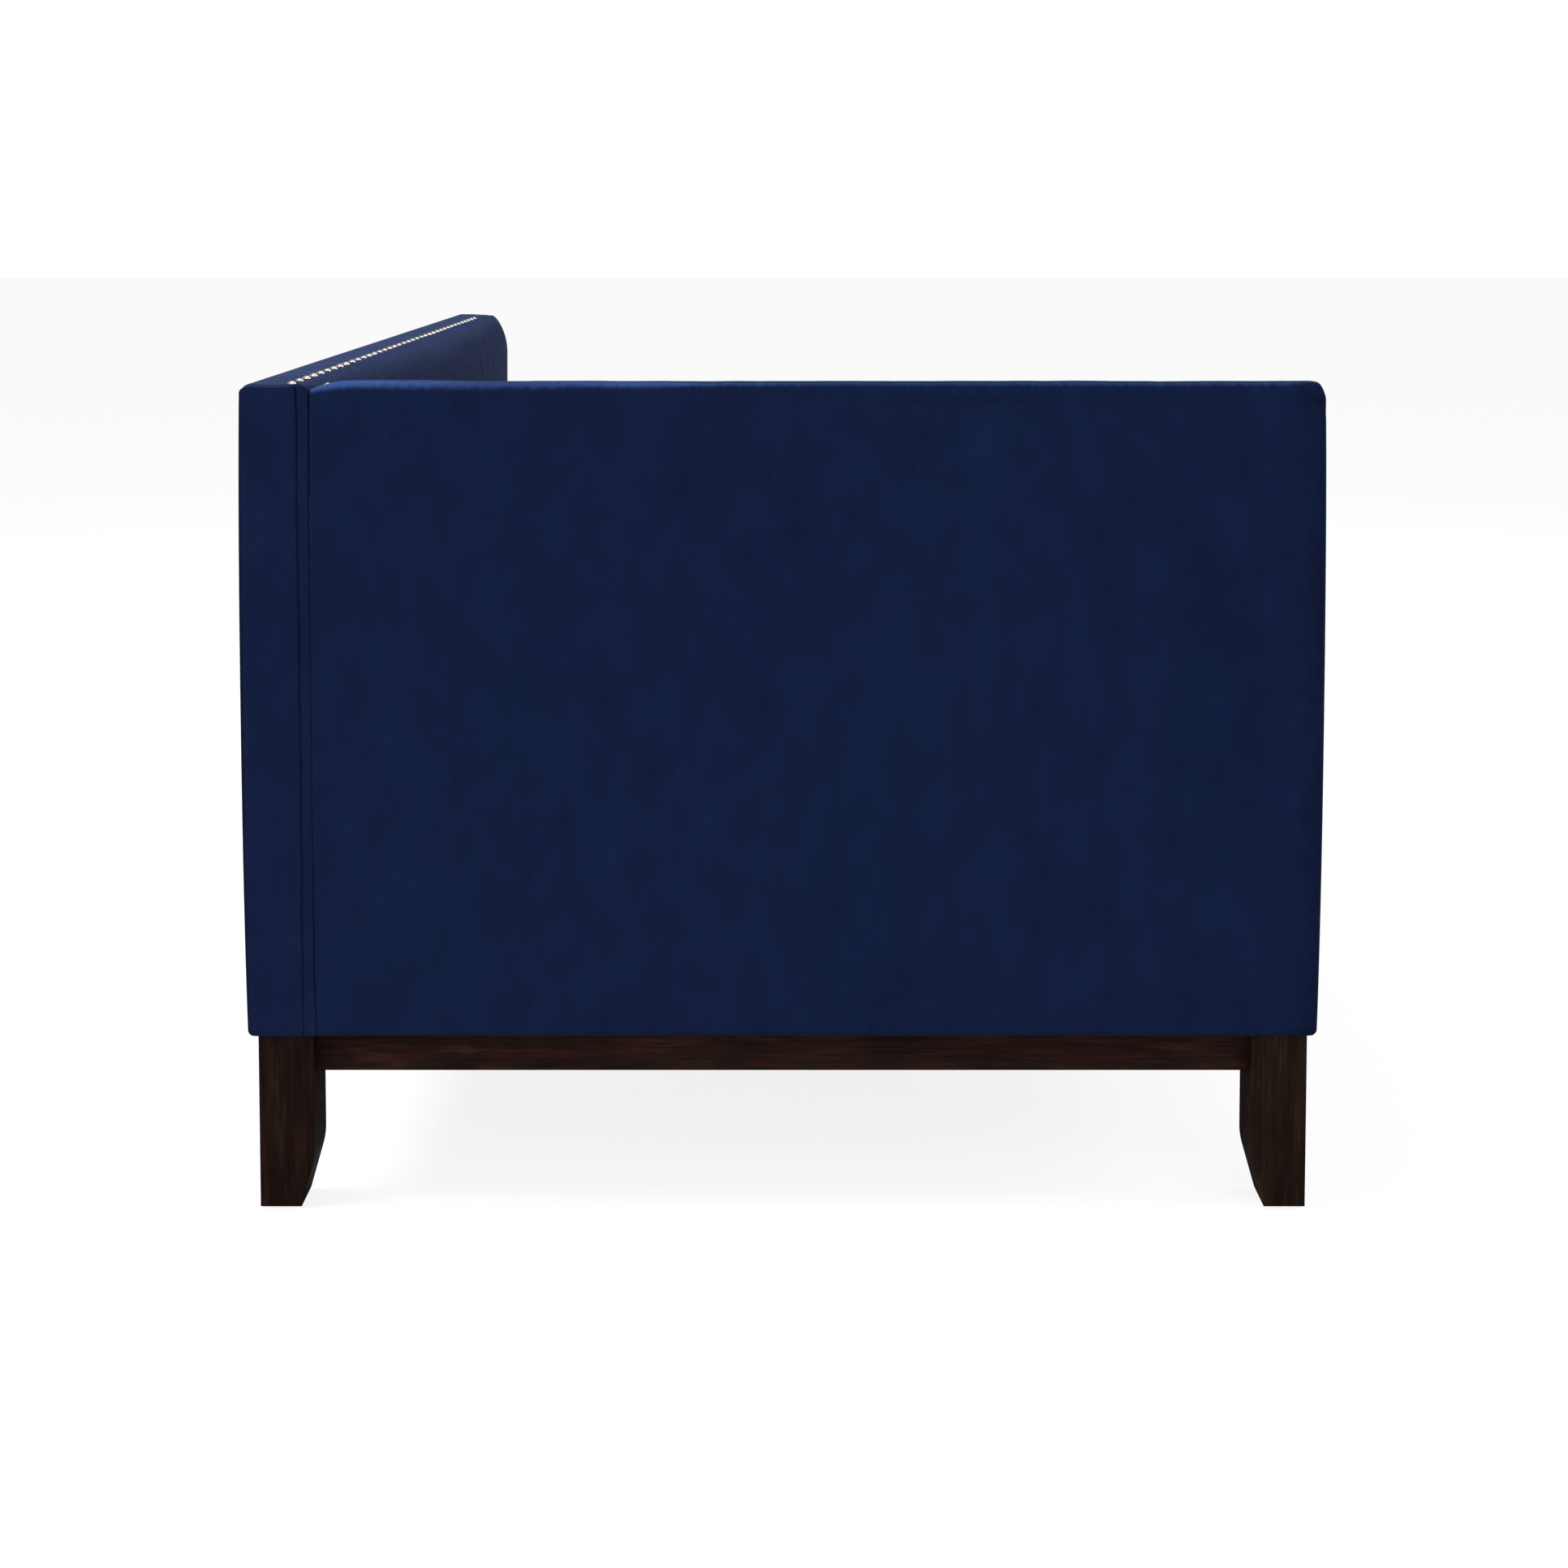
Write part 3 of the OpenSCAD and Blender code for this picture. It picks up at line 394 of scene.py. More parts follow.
def soft_box(lo, hi, low, high, step):
    """Points, faces and normals of a box with rounded edges. Low and high hold the roundings of its
    low and high faces in millimetres, and step the grid's spacing on each axis."""
    lo, hi = np.array(lo, float), np.array(hi, float)
    low, high = np.array(low) * MM, np.array(high) * MM
    points, faces = box_grid([stops(lo[k], hi[k], step[k], low[k], high[k]) for k in range(3)])
    points = round_off(points, lo, hi, low, high)
    return points, faces, normals_of(points, faces)


def normals_of(points, faces):
    """Outward unit normals at the points of a quad mesh."""
    a, b, c, d = (points[faces[:, k]] for k in range(4))
    flat = np.cross(c - a, d - b)
    total = np.zeros_like(points)
    for k in range(4):
        np.add.at(total, faces[:, k], flat)
    return total / np.maximum(np.linalg.norm(total, axis=1, keepdims=True), 1e-12)


def lumps(points, size, seed):
    """Smooth random lumps between -1 and 1, of about the given size in metres on each axis."""
    cells = 32
    offset = 100.0
    table = np.random.default_rng(seed).random((cells, cells, cells)) * 2 - 1
    place = points / np.array(size) + offset
    cell = np.floor(place).astype(int)
    part = place - cell
    part = part * part * (3 - 2 * part)
    total = np.zeros(len(points))
    for corner in np.ndindex(2, 2, 2):
        weight = np.prod(np.where(corner, part, 1 - part), axis=1)
        at = (cell + corner) % cells
        total += weight * table[at[:, 0], at[:, 1], at[:, 2]]
    return total


def swell(values, lo, hi, power=2.4):
    """0 at both ends of a stretch and 1 at its middle, rising quickly from the ends."""
    return 1 - np.abs(np.clip(2 * (values - lo) / (hi - lo) - 1, -1, 1)) ** power


def ramp(values, a, b):
    """Smooth step from 0 at a to 1 at b."""
    t = np.clip((values - a) / (b - a), 0, 1)
    return t * t * (3 - 2 * t)


def bell(values, middle, width):
    """Bell curve of height 1."""
    return np.exp(-((values - middle) / width) ** 2)


def corner_fall(inside, radius, height):
    """How far an edge has turned away near a corner, along a quarter ellipse as wide as the radius.
    Inside is each point's distance from the corner."""
    share = np.clip(1 - inside / radius, 0, 0.99)
    return height * (1 - np.sqrt(1 - share ** 2))


# Camera, lights and stage

# As measured from the photograph: place, pitch in degrees, lens in millimetres and sensor shift
CAMERA_PLACE = (-4.0152, -0.0013, 1.0206)
CAMERA_PITCH = 4.53
CAMERA_LENS = 69.19
CAMERA_SHIFT = -0.215

# Sky light for diffuse surfaces: its level, and how it grows towards +X and +Y
SKY_LEVEL = 0.42
SKY_ALONG_X = -0.14
SKY_ALONG_Y = 0.15

# Name, place, the point it faces, size and watts of each lamp
LAMPS = (
    ("top_light", (-0.5, 2.3, 3.3), (-0.2, 0.2, 0.8), (3.6, 2.0), 230),
    ("camera_fill", (-4.6, -1.6, 2.4), (0, 0, 0.5), (2.4, 2.0), 45),
    ("front_fill", (0.6, -4.2, 2.6), (0, 0, 0.5), (3.0, 2.0), 80),
    ("open_end_fill", (4.4, -2.6, 2.4), (0, 0, 0.5), (2.4, 2.0), 40),
)

# Half the side of the floor, its grey as light falls on it and as the camera sees it, and the
# glow that brings it up to white
FLOOR_HALF = 40
FLOOR_GREY = 0.8
FLOOR_SHADE = 0.22
FLOOR_GLOW = 0.86


def make_camera():
    """Camera at the photograph's viewing angle."""
    data = bpy.data.cameras.new("camera")
    data.sensor_width = 36
    data.lens = CAMERA_LENS
    data.shift_y = CAMERA_SHIFT
    camera = bpy.data.objects.new("camera", data)
    bpy.context.scene.collection.objects.link(camera)
    pitch = math.radians(CAMERA_PITCH)
    camera.location = CAMERA_PLACE
    ahead = Vector((math.cos(pitch), 0, -math.sin(pitch)))
    camera.rotation_euler = ahead.to_track_quat("-Z", "Y").to_euler()
    bpy.context.scene.camera = camera


def area_light(name, place, target, size, watts):
    """Soft rectangular lamp that faces a point."""
    data = bpy.data.lights.new(name, "AREA")
    data.shape = "RECTANGLE"
    data.size, data.size_y = size
    data.energy = watts
    lamp = bpy.data.objects.new(name, data)
    bpy.context.scene.collection.objects.link(lamp)
    lamp.location = place
    lamp.rotation_euler = (Vector(target) - Vector(place)).to_track_quat("-Z", "Y").to_euler()


def make_world():
    """Soft surroundings: plain white to the camera, gloss and glass. As light they are dimmer, and
    brighter behind the back than on the seat side."""
    world = bpy.data.worlds.new("studio")
    bpy.context.scene.world = world
    world.use_nodes = True
    tree = world.node_tree
    background = tree.nodes["Background"]
    path = tree.nodes.new("ShaderNodeLightPath")
    seen = math_node(tree, "MAXIMUM", path.outputs["Is Camera Ray"], path.outputs["Is Glossy Ray"])
    seen = math_node(tree, "MAXIMUM", seen, path.outputs["Is Transmission Ray"])
    coord = tree.nodes.new("ShaderNodeTexCoord")
    towards = tree.nodes.new("ShaderNodeSeparateXYZ")
    tree.links.new(coord.outputs["Generated"], towards.inputs[0])
    glow = math_node(tree, "MULTIPLY_ADD", towards.outputs[0], SKY_ALONG_X, SKY_LEVEL)
    glow = math_node(tree, "MULTIPLY_ADD", towards.outputs[1], SKY_ALONG_Y, glow)
    level = tree.nodes.new("ShaderNodeMix")
    tree.links.new(seen, level.inputs["Factor"])
    tree.links.new(glow, level.inputs["A"])
    level.inputs["B"].default_value = 1.0
    background.inputs["Color"].default_value = (1, 1, 1, 1)
    tree.links.new(level.outputs["Result"], background.inputs["Strength"])


def make_floor():
    """Pale floor that shows white to the camera and keeps a faint shadow."""
    corners = [(x * FLOOR_HALF, y * FLOOR_HALF, 0) for x, y in ((-1, -1), (1, -1), (1, 1), (-1, 1))]
    floor = new_object("floor", corners, [(0, 1, 2, 3)])
    mat = bpy.data.materials.new("floor")
    mat.use_nodes = True
    tree = mat.node_tree
    tree.nodes.clear()
    out = tree.nodes.new("ShaderNodeOutputMaterial")
    matte = tree.nodes.new("ShaderNodeBsdfDiffuse")
    matte.inputs["Color"].default_value = (FLOOR_GREY, FLOOR_GREY, FLOOR_GREY, 1)
    shade = tree.nodes.new("ShaderNodeBsdfDiffuse")
    shade.inputs["Color"].default_value = (FLOOR_SHADE, FLOOR_SHADE, FLOOR_SHADE, 1)
    glow = tree.nodes.new("ShaderNodeEmission")
    glow.inputs["Strength"].default_value = FLOOR_GLOW
    both = tree.nodes.new("ShaderNodeAddShader")
    tree.links.new(shade.outputs[0], both.inputs[0])
    tree.links.new(glow.outputs[0], both.inputs[1])
    pick = tree.nodes.new("ShaderNodeMixShader")
    path = tree.nodes.new("ShaderNodeLightPath")
    tree.links.new(path.outputs["Is Camera Ray"], pick.inputs[0])
    tree.links.new(matte.outputs[0], pick.inputs[1])
    tree.links.new(both.outputs[0], pick.inputs[2])
    tree.links.new(pick.outputs[0], out.inputs["Surface"])
    floor.data.materials.append(mat)


bpy.context.scene.view_settings.view_transform = "Standard"
make_camera()
make_world()
make_floor()
for lamp in LAMPS:
    area_light(*lamp)


# Velvet over the frames

# Thickness of an end panel, and how far it stands proud
PANEL = 7 * MM
PROUD = 0.9 * MM
# Top of the end panels, lowest edge of the velvet, and the seam between top band and side strip
END_TOP = BACK_TOP - 2.8 * MM
Z_HEM = Z_BASE - 0.9 * MM
BAND_SEAM = BACK_LO.y + 1.4 * MM
# How the back's top sags at the open end: over what length, how far in from the outer face it
# begins, and over what width it grows
OPEN_END_SAG = 110 * MM
SAG_START = 22 * MM
SAG_WIDTH = 33 * MM


def upholster(name, points, faces, node, painted_shading=None, material=velvet,
              body="daybed"):
    """Make a padded piece that rides on a body and stands for one CAD node. Its shading values
    paint a highlight at each point where they are above 0, and shade where they are below 0."""
    piece = new_object(name, points, faces.tolist())
    piece.data.validate()
    piece.data.shade_smooth()
    piece.data.materials.append(material)
    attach(piece, body)
    # The painted highlight and shade go onto the mesh as an attribute
    if painted_shading is not None:
        attribute = piece.data.attributes.new("painted_shading", "FLOAT", "POINT")
        attribute.data.foreach_set("value", np.clip(painted_shading, -1.2, 1.2).astype(np.float32))
    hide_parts(node)


def side_bulge(points, normals):
    """Upright faces swell a little between the hem and the top, at their corners too."""
    rise = swell(points[:, 2], Z_BASE, BACK_TOP)[:, None]
    return CROWN * rise * normals * (1, 1, 0)


def seam_wander(points, place):
    """How far an upright seam strays from its straight line, at points near its place in Y."""
    height = points * (0, 0, 1)
    stray = 0.5 * lumps(height, (1, 1, 0.045), 33) + 0.3 * lumps(height, (1, 1, 0.014), 34)
    return stray * MM * bell(points[:, 1], place, 5 * MM)


def near_hem(points):
    """1 at the hem, fading out over the 3 cm above it."""
    return ramp(-points[:, 2], -Z_HEM - 0.03, -Z_HEM - 0.002)


def above_hem(points):
    """0 at the hem and 1 from 7 cm above it."""
    return ramp(points[:, 2], Z_HEM, Z_HEM + 0.07)


def seam_shade(points, place):
    """Painted shade along an upright seam, less of it towards the hem."""
    return (0.4 + 0.7 * above_hem(points)) * bell(points[:, 1], place, 1.2 * MM)


def hem_shade(points):
    """Painted shade along the hem."""
    return 0.5 * bell(points[:, 2], Z_HEM, 3 * MM)


def open_end_sag(points, reach):
    """How far the back's top sags at its open end, most of all in front of the frame. The sag fades
    out over the reach below the top."""
    top = ramp(points[:, 2], BACK_TOP - reach, BACK_TOP)
    end = ramp(points[:, 0], X_OPEN - OPEN_END_SAG, X_OPEN) ** 1.5
    inward = np.clip(Y_BACK - SAG_START - points[:, 1], 0, SAG_WIDTH) / SAG_WIDTH
    past_liner = ramp(-points[:, 1], -BACK_LINER, 20 * MM - BACK_LINER)
    return top * (end * (3.0 * inward ** 2 + 6.0 * past_liner) * MM)


def back_outside():
    """Outer face and top band of the back in one length of velvet."""
    lo = (X_ARM + 0.3 * MM, BAND_SEAM, Z_HEM)
    hi = (X_OPEN - 0.3 * MM, Y_BACK, BACK_TOP)
    points, faces, normals = soft_box(lo, hi, (14, 1.6, 2), (14, 9, 9), (0.007, 0.004, 0.012))
    up, out = np.clip(normals[:, 2], 0, 1), np.clip(normals[:, 1], 0, 1)
    moved = points + side_bulge(points, normals)
    # Pulls run slantwise over the top band, from the outer edge to the nails
    slant = points.copy()
    slant[:, 0] += 1.3 * (points[:, 1] - BAND_SEAM)
    near_nails = ramp(-points[:, 1], -Y_BACK + 2 * MM, -BAND_SEAM - 20 * MM)
    near_arm = 1 + 0.8 * ramp(-points[:, 0], 0.3, 0.95)
    pulls = 0.6 * lumps(slant, (0.05, 0.09, 1), 5) + 0.45 * lumps(slant, (0.02, 0.05, 1), 8)
    pulls += 0.15 * lumps(points, (0.008, 0.03, 1), 9)
    bunched = 0.9 * bell(points[:, 1], NAIL_LINE, 9 * MM)
    amount = ramp(up, 0.4, 0.95) * (near_nails * near_arm * (pulls - 0.3) + bunched) * MM
    broad = 0.5 * lumps(points, (0.2, 1, 0.24), 3) + 0.15 * lumps(points, (0.05, 1, 0.06), 4)
    amount += out * broad * MM
    moved += normals * amount[:, None]
    moved[:, 2] -= open_end_sag(points, 0.06)
    top = ramp(points[:, 2], BACK_TOP - 0.03, BACK_TOP - 0.002)
    # Painted light and shade on the top band: lighter on the pulls, darker between them and a little
    # darker all over, with painted shade along the seam at the arm end and along the outer top edge
    painted_shading = (0.2 + 0.3 * near_nails) * ramp(up, 0.5, 1) * np.clip(pulls, -1, 0.7) - 0.12
    painted_shading -= 0.9 * bell(points[:, 0], X_ARM, 1.6 * MM) * top
    painted_shading -= 0.5 * bell(points[:, 1], Y_BACK, 2 * MM) * ramp(up, 0.2, 0.5)
    upholster("back_outside_velvet", moved, faces, "outside_back_cover", painted_shading, velvet_long)


def back_end(name, near):
    """End panel of the back, sewn to the top band above it. Near is true at the arm end."""
    face = X_ARM - PROUD if near else X_OPEN + PROUD
    behind = X_ARM + PANEL if near else X_OPEN - PANEL
    lo = (min(face, behind), BAND_SEAM - 1.2 * MM, Z_HEM)
    hi = (max(face, behind), Y_BACK + 0.15 * MM, END_TOP)
    edge = (2.2, 1.6, 2) if near else (1, 1.8, 2)
    far_edge = (1, 6.5, 2) if near else (2.6, 6.5, 2.2)
    points, faces, normals = soft_box(lo, hi, edge, far_edge, (0.003, 0.003, 0.006))
    out = np.clip(normals[:, 0] * (-1 if near else 1), 0, 1)
    moved = points + side_bulge(points, normals)
    # Both corners beside the outer face of the back are rounded
    inside = hi[1] - points[:, 1]
    near_top = ramp(points[:, 2], END_TOP - 0.03, END_TOP - 0.003)
    moved[:, 2] -= corner_fall(inside, 9 * MM, 4 * MM) * near_top
    moved[:, 2] += corner_fall(inside, 6 * MM, 4.5 * MM) * near_hem(points)
    # The top seam wanders and puckers a little
    seam = ramp(points[:, 2], END_TOP - 0.02, END_TOP)
    stray = 0.5 * lumps(points, (1, 0.018, 1), 12) + 0.3 * lumps(points, (1, 0.007, 1), 13)
    moved[:, 2] += seam * stray * MM
    soft = 0.3 * lumps(points, (1, 0.03, 0.1), 11) + 0.1 * lumps(points, (1, 0.012, 0.012), 14)
    moved += normals * (out * soft * MM)[:, None]
    moved[:, 1] += seam_wander(points, lo[1])
    if not near:
        moved[:, 2] -= open_end_sag(points, 0.06)
    # Painted shade along the top seam, at the corner beside the outer face, along the side seam and
    # at the hem
    painted_shading = -1.1 * bell(points[:, 2], END_TOP, 1.3 * MM) - 0.9 * bell(points[:, 1], hi[1], 2.2 * MM)
    painted_shading -= seam_shade(points, lo[1]) + hem_shade(points)
    upholster(name, moved, faces, "outside_back_cover", painted_shading)


def pad_side_strip():
    """Side of the back's pad, squeezed between the back and the arm."""
    lo = (X_ARM - 0.5 * MM, ARM_REAR - 0.4 * MM, Z_HEM)
    hi = (ARM_IN, BAND_SEAM - 0.9 * MM, END_TOP - 0.2 * MM)
    points, faces, normals = soft_box(lo, hi, (1.6, 1.8, 2), (1, 1.4, 2.6), (0.012, 0.002, 0.006))
    out = np.clip(-normals[:, 0], 0, 1)
    moved = points + side_bulge(points, normals) * (0.75, 0, 1)
    moved += normals * (out * 0.3 * MM * lumps(points, (1, 0.02, 0.05), 31))[:, None]
    moved[:, 1] += seam_wander(points, hi[1]) + seam_wander(points, lo[1])
    # The top turns down towards the arm
    turn = np.clip((ARM_REAR + 4 * MM - points[:, 1]) / (4.4 * MM), 0, 1)
    moved[:, 2] -= ramp(points[:, 2], END_TOP - 0.02, END_TOP - 0.002) * 3.2 * MM * turn ** 2
    # Painted shade in the gap beside the arm, along the seams, along the top and at the hem
    painted_shading = -1.1 * above_hem(points) * bell(points[:, 1], lo[1], 1.3 * MM)
    painted_shading -= seam_shade(points, hi[1]) + hem_shade(points) + 0.9 * bell(moved[:, 2], END_TOP, 1.5 * MM)
    upholster("back_pad_side", moved, faces, "inside_back_pad", painted_shading)


# Where creases run down from the arm's stuffed top, as the photograph shows them: place and length
ARM_CREASES = ((0.1295, 0.085), (-0.242, 0.11), (0.31, 0.05))


def arm_outside():
    """Outside, ends and stuffed top of the arm."""
    lo = np.array((X_ARM, Y_FRONT, Z_HEM))
    hi = np.array((ARM_IN, ARM_REAR - 0.3 * MM, ARM_TOP))
    low, high = np.array((9, 8, 2)) * MM, np.array((1, 2.5, 7.5)) * MM
    step = (0.004, 0.006, 0.008)
    points, faces = box_grid([stops(lo[k], hi[k], step[k], low[k], high[k]) for k in range(3)])
    # The roll of the top edge is fuller towards the back, and the rear upright edge is crisp
    along = ramp(points[:, 1], -0.1, ARM_REAR - 0.1)
    roll = (0.4 + 0.6 * along)[:, None]
    lows = np.tile(low, (len(points), 1))
    lows[:, :1] *= roll
    upright = ramp(ARM_TOP - points[:, 2], 0.004, 0.02)
    upright *= ramp(points[:, 1], ARM_REAR - 0.03, ARM_REAR - 0.01)
    lows[:, 0] = lows[:, 0] * (1 - upright) + 2 * MM * upright
    highs = np.tile(high, (len(points), 1))
    highs[:, 2:] *= roll
    points = round_off(points, lo, hi, lows, highs)
    normals = normals_of(points, faces)
    out, up = np.clip(-normals[:, 0], 0, 1), np.clip(normals[:, 2], 0, 1)
    moved = points + side_bulge(points, normals)
    drop = ARM_TOP - points[:, 2]
    amount = 0.45 * lumps(points, (1, 0.19, 0.15), 21) + 0.22 * lumps(points, (1, 0.055, 0.07), 22)
    # An uneven line where the stuffing of the top ends
    line = 0.0125 + 0.004 * lumps(points, (1, 0.09, 1), 26)
    dent = (0.55 + 0.45 * lumps(points, (1, 0.05, 1), 27)) * bell(drop, line, 0.0042)
    amount -= dent
    crease = np.zeros(len(points))
    for place, reach in ARM_CREASES:
        path = place + 0.004 * np.sin(drop * 38)
        fade = ramp(-drop, -reach, 0) * ramp(drop, 0.004, 0.016)
        crease += 0.55 * bell(points[:, 1], path, 0.0035) * fade
    moved += normals * (out * (amount - crease) * MM)[:, None]
    # The stuffed top rises from the nail seat and falls into the outer edge
    seat = ARM_RAIL_OUT + 42 * MM
    share = np.clip((seat - points[:, 0]) / (seat - X_ARM + 0.004), 0, 1)
    rise = np.sin(np.pi * share ** 0.9 * (0.72 + 0.2 * along)) ** 0.8
    wave = 0.35 * lumps(points, (1, 0.075, 1), 24) + 0.2 * lumps(points, (1, 0.024, 1), 23)
    wave += 0.08 * lumps(points, (0.02, 0.01, 1), 25)
    past = np.clip((points[:, 1] - ARM_REAR + 44 * MM) / (39.5 * MM), 0, 1)
    full = ramp(points[:, 1], Y_FRONT - 0.004, Y_FRONT + 0.008) * (1 - past ** 2) ** 0.45
    full -= 0.32 * bell(points[:, 1], ARM_NAILS_HI.y - 5 * MM, 9 * MM)
    wave += 0.8 * bell(points[:, 1], 0.385, 0.055) - 0.5 * bell(points[:, 1], 0.3, 0.05)
    moved[:, 1] += seam_wander(points, hi[1])
    near_top = ramp(points[:, 2], ARM_TOP - 0.04, ARM_TOP - 0.001)
    lift = (ARM_CREST - ARM_TOP) + (2.4 + wave) * MM
    bunched = 0.6 * MM * bell(points[:, 0], ARM_NAIL_LINE, 8 * MM)
    moved[:, 2] += near_top * (rise * full * lift + bunched)
    # The front end turns down at the top and up at the hem
    inside = points[:, 1] - Y_FRONT
    fall = (0.3 + 0.7 * ramp(share, 0.1, 0.75)) * corner_fall(inside, 13 * MM, 12 * MM)
    moved[:, 2] -= ramp(points[:, 2], ARM_TOP - 0.09, ARM_TOP - 0.004) * fall
    moved[:, 2] += corner_fall(inside, 8 * MM, 5 * MM) * near_hem(points)
    # Painted highlight along the roll and the outer top edge; painted shade along the top, in the
    # dent and creases, on the top's inner side, along seams, towards the front and at the hem
    ragged = 0.0024 + 0.0022 * along + 0.0012 * lumps(points, (1, 0.035, 1), 28)
    bright = 0.32 + 0.4 * along + 0.2 * lumps(points, (1, 0.06, 1), 29)
    bright *= 0.45 + 0.55 * np.maximum(bell(share, 0.9, 0.22), share >= 0.9)
    over = ramp(share, 0.9 - 0.5 * along, 1.0 - 0.3 * along)
    painted_shading = bright * np.exp(-(np.abs(drop) / ragged) ** 1.3) * over
    # Painted highlight in a thin line along the outer top edge, fading towards the back
    edge = (1 - along) * ramp(-points[:, 0], -X_ARM - 0.006, -X_ARM - 0.002)
    painted_shading += edge * (0.36 * bell(drop, 1.3 * MM, 0.9 * MM) + 0.2 * bell(drop, 2 * MM, 3.6 * MM))
    painted_shading -= 0.3 * ramp(-drop, -0.001, 0) * (1 - over)
    painted_shading -= 0.35 * out * dent + 0.5 * out * crease + 0.3 * (1 - out) * up * (1 - share)
    painted_shading -= 0.9 * bell(points[:, 1], ARM_REAR, 1.2 * MM) * ramp(drop, 0.006, 0.03)
    painted_shading -= 0.4 * ramp(-points[:, 1], -Y_FRONT - 0.045, -Y_FRONT) + hem_shade(points)
    upholster("arm_outside_velvet", moved, faces, "arm_outside_cover", painted_shading)


# Depth of the velvet border that folds over the seat box
BORDER = 30 * MM


def seat_border(name, lo, hi, low, high):
    """Velvet over one side of the seat box."""
    points, faces, normals = soft_box(lo, hi, low, high, (0.012, 0.012, 0.006))
    rise = swell(points[:, 2], Z_BASE, DECK_TOP)
    soft = 0.4 * lumps(points, (0.12, 0.12, 0.1), 41) + 0.15 * lumps(points, (0.03, 0.03, 0.03), 42)
    amount = (1.6 * rise + soft) * MM
    upholster(name, points + normals * (1, 1, 0) * amount[:, None], faces, "seat_border_cover")


def seat_borders():
    """Velvet over the front and the open end of the seat box."""
    seat_border("seat_border_front", (ARM_IN + MM, Y_FRONT, Z_HEM),
                (X_OPEN, Y_FRONT + BORDER, DECK_TOP), (2, 5, 2), (7, 2, 5))
    seat_border("seat_border_open_end", (X_OPEN - BORDER, Y_FRONT + BORDER - 0.5 * MM, Z_HEM),
                (X_OPEN, BAND_SEAM - 1.2 * MM, DECK_TOP), (2, 1.5, 2), (5, 2, 5))


def seat_deck():
    """Padded deck under the loose cushion."""
    gap = BORDER + 0.5 * MM
    lo = (ARM_IN + MM, Y_FRONT + gap, DECK_LO.z)
    hi = (X_OPEN - gap, BACK_LINER, DECK_TOP)
    points, faces, _ = soft_box(lo, hi, (3, 3, 2), (3, 3, 4), (0.03, 0.03, 0.006))
    upholster("seat_deck_cloth", points, faces, "seat_deck_pad", material=deck_cloth)


# Inside pads

# Places of the upright folds, along X on the back and along Y on the arm
BACK_FOLDS = (-0.77, -0.572, -0.347, -0.111, 0.083, 0.277, 0.452, 0.66, 0.85)
ARM_FOLDS = (-0.36, -0.15, 0.06, 0.27)
# Depth of a pad at its ends, how much deeper its middle is, and the height of the roll at its top
PAD_EDGE = 24.6 * MM
PAD_CROWN = 14 * MM
ROLL = 62 * MM
# Seeds of the folds and lumps of each pad
BACK_PAD_SEED = 50
ARM_PAD_SEED = 80


def fold_depth(across, drop, places, seed):
    """Depth of soft upright pulls that start under the roll and fade towards the deck."""
    depth = np.zeros(len(across))
    for k, place in enumerate(places):
        rng = np.random.default_rng(seed + k)
        line = place + rng.uniform(-0.06, 0.06) * drop
        line += rng.uniform(0.003, 0.009) * np.sin(drop * 13 + k)
        width = 0.008 + 0.06 * np.clip(drop, 0, 0.4)
        strength = ramp(drop, 0.012, 0.07) * (1 - 0.8 * ramp(drop, 0.14, 0.42))
        shape = bell(across, line, width) - 0.4 * bell(across, line + 0.9 * width, 1.6 * width)
        depth += rng.uniform(0.7, 1.15) * strength * shape
    return depth


def roll_rows(lo, top):
    """Heights of a pad's rows, close together where the roll turns over."""
    turn = np.sin(np.radians(np.linspace(0, 90, 26)))
    straight = np.linspace(lo, top - ROLL, int(round((top - ROLL - lo) / 0.008)))
    return np.concatenate([straight[:-1], top - ROLL + ROLL * turn])


def pad_points(u0, u1, top, end_roundings, profile):
    """A pad in its own axes: along its frame, out from it and up. At each place along the frame the
    profile gives the width of the flat before the roll, and the roll's depth and height."""
    shoulder = 0.34
    lo, hi = np.array((u0, 0, DECK_TOP)), np.array((u1, 1, top))
    low = np.array((end_roundings[0], 0.0, 0.0))
    high = np.array((end_roundings[1], shoulder, 5 * MM))
    across = stops(0, 1, 0.12, 0.01, shoulder)
    grid, faces = box_grid([stops(u0, u1, 0.008, *end_roundings), across, roll_rows(DECK_TOP, top)])
    grid = round_off(grid, lo, hi, low, high)
    start, depth, height = profile(grid[:, 0])
    above = np.clip((grid[:, 2] - (top - height)) / height, 0, 1)
    reach = start + depth * np.sqrt(1 - above ** 2)
    local = np.stack([grid[:, 0], grid[:, 1] * reach, grid[:, 2]], 1)
    return local, faces


def stuffed(across, height, drop, places, seed):
    """Displacement of a pad's face, folds and lumps of stuffing, and its painted light and shade.
    Across and height say where a point is on the face, and drop how far it is below the pad's top."""
    slanted = np.stack([across + 0.6 * drop, np.zeros(len(across)), height], 1)
    folds = fold_depth(across, drop, places, seed)
    soft = 1.2 * lumps(slanted, (0.4, 1, 0.09), seed + 20)
    soft += 0.5 * lumps(slanted, (0.2, 1, 0.045), seed + 21)
    pulls = lumps(slanted, (0.12, 1, 0.03), seed + 22) * ramp(-drop, -0.12, -0.015)
    # Painted light and shade: lighter on the lumps and pulls, darker in the folds
    painted_shading = 0.35 * soft + 0.2 * pulls - 0.15 * np.clip(folds, -1, 1)
    return (soft + 0.3 * pulls - 1.0 * folds) * MM, painted_shading


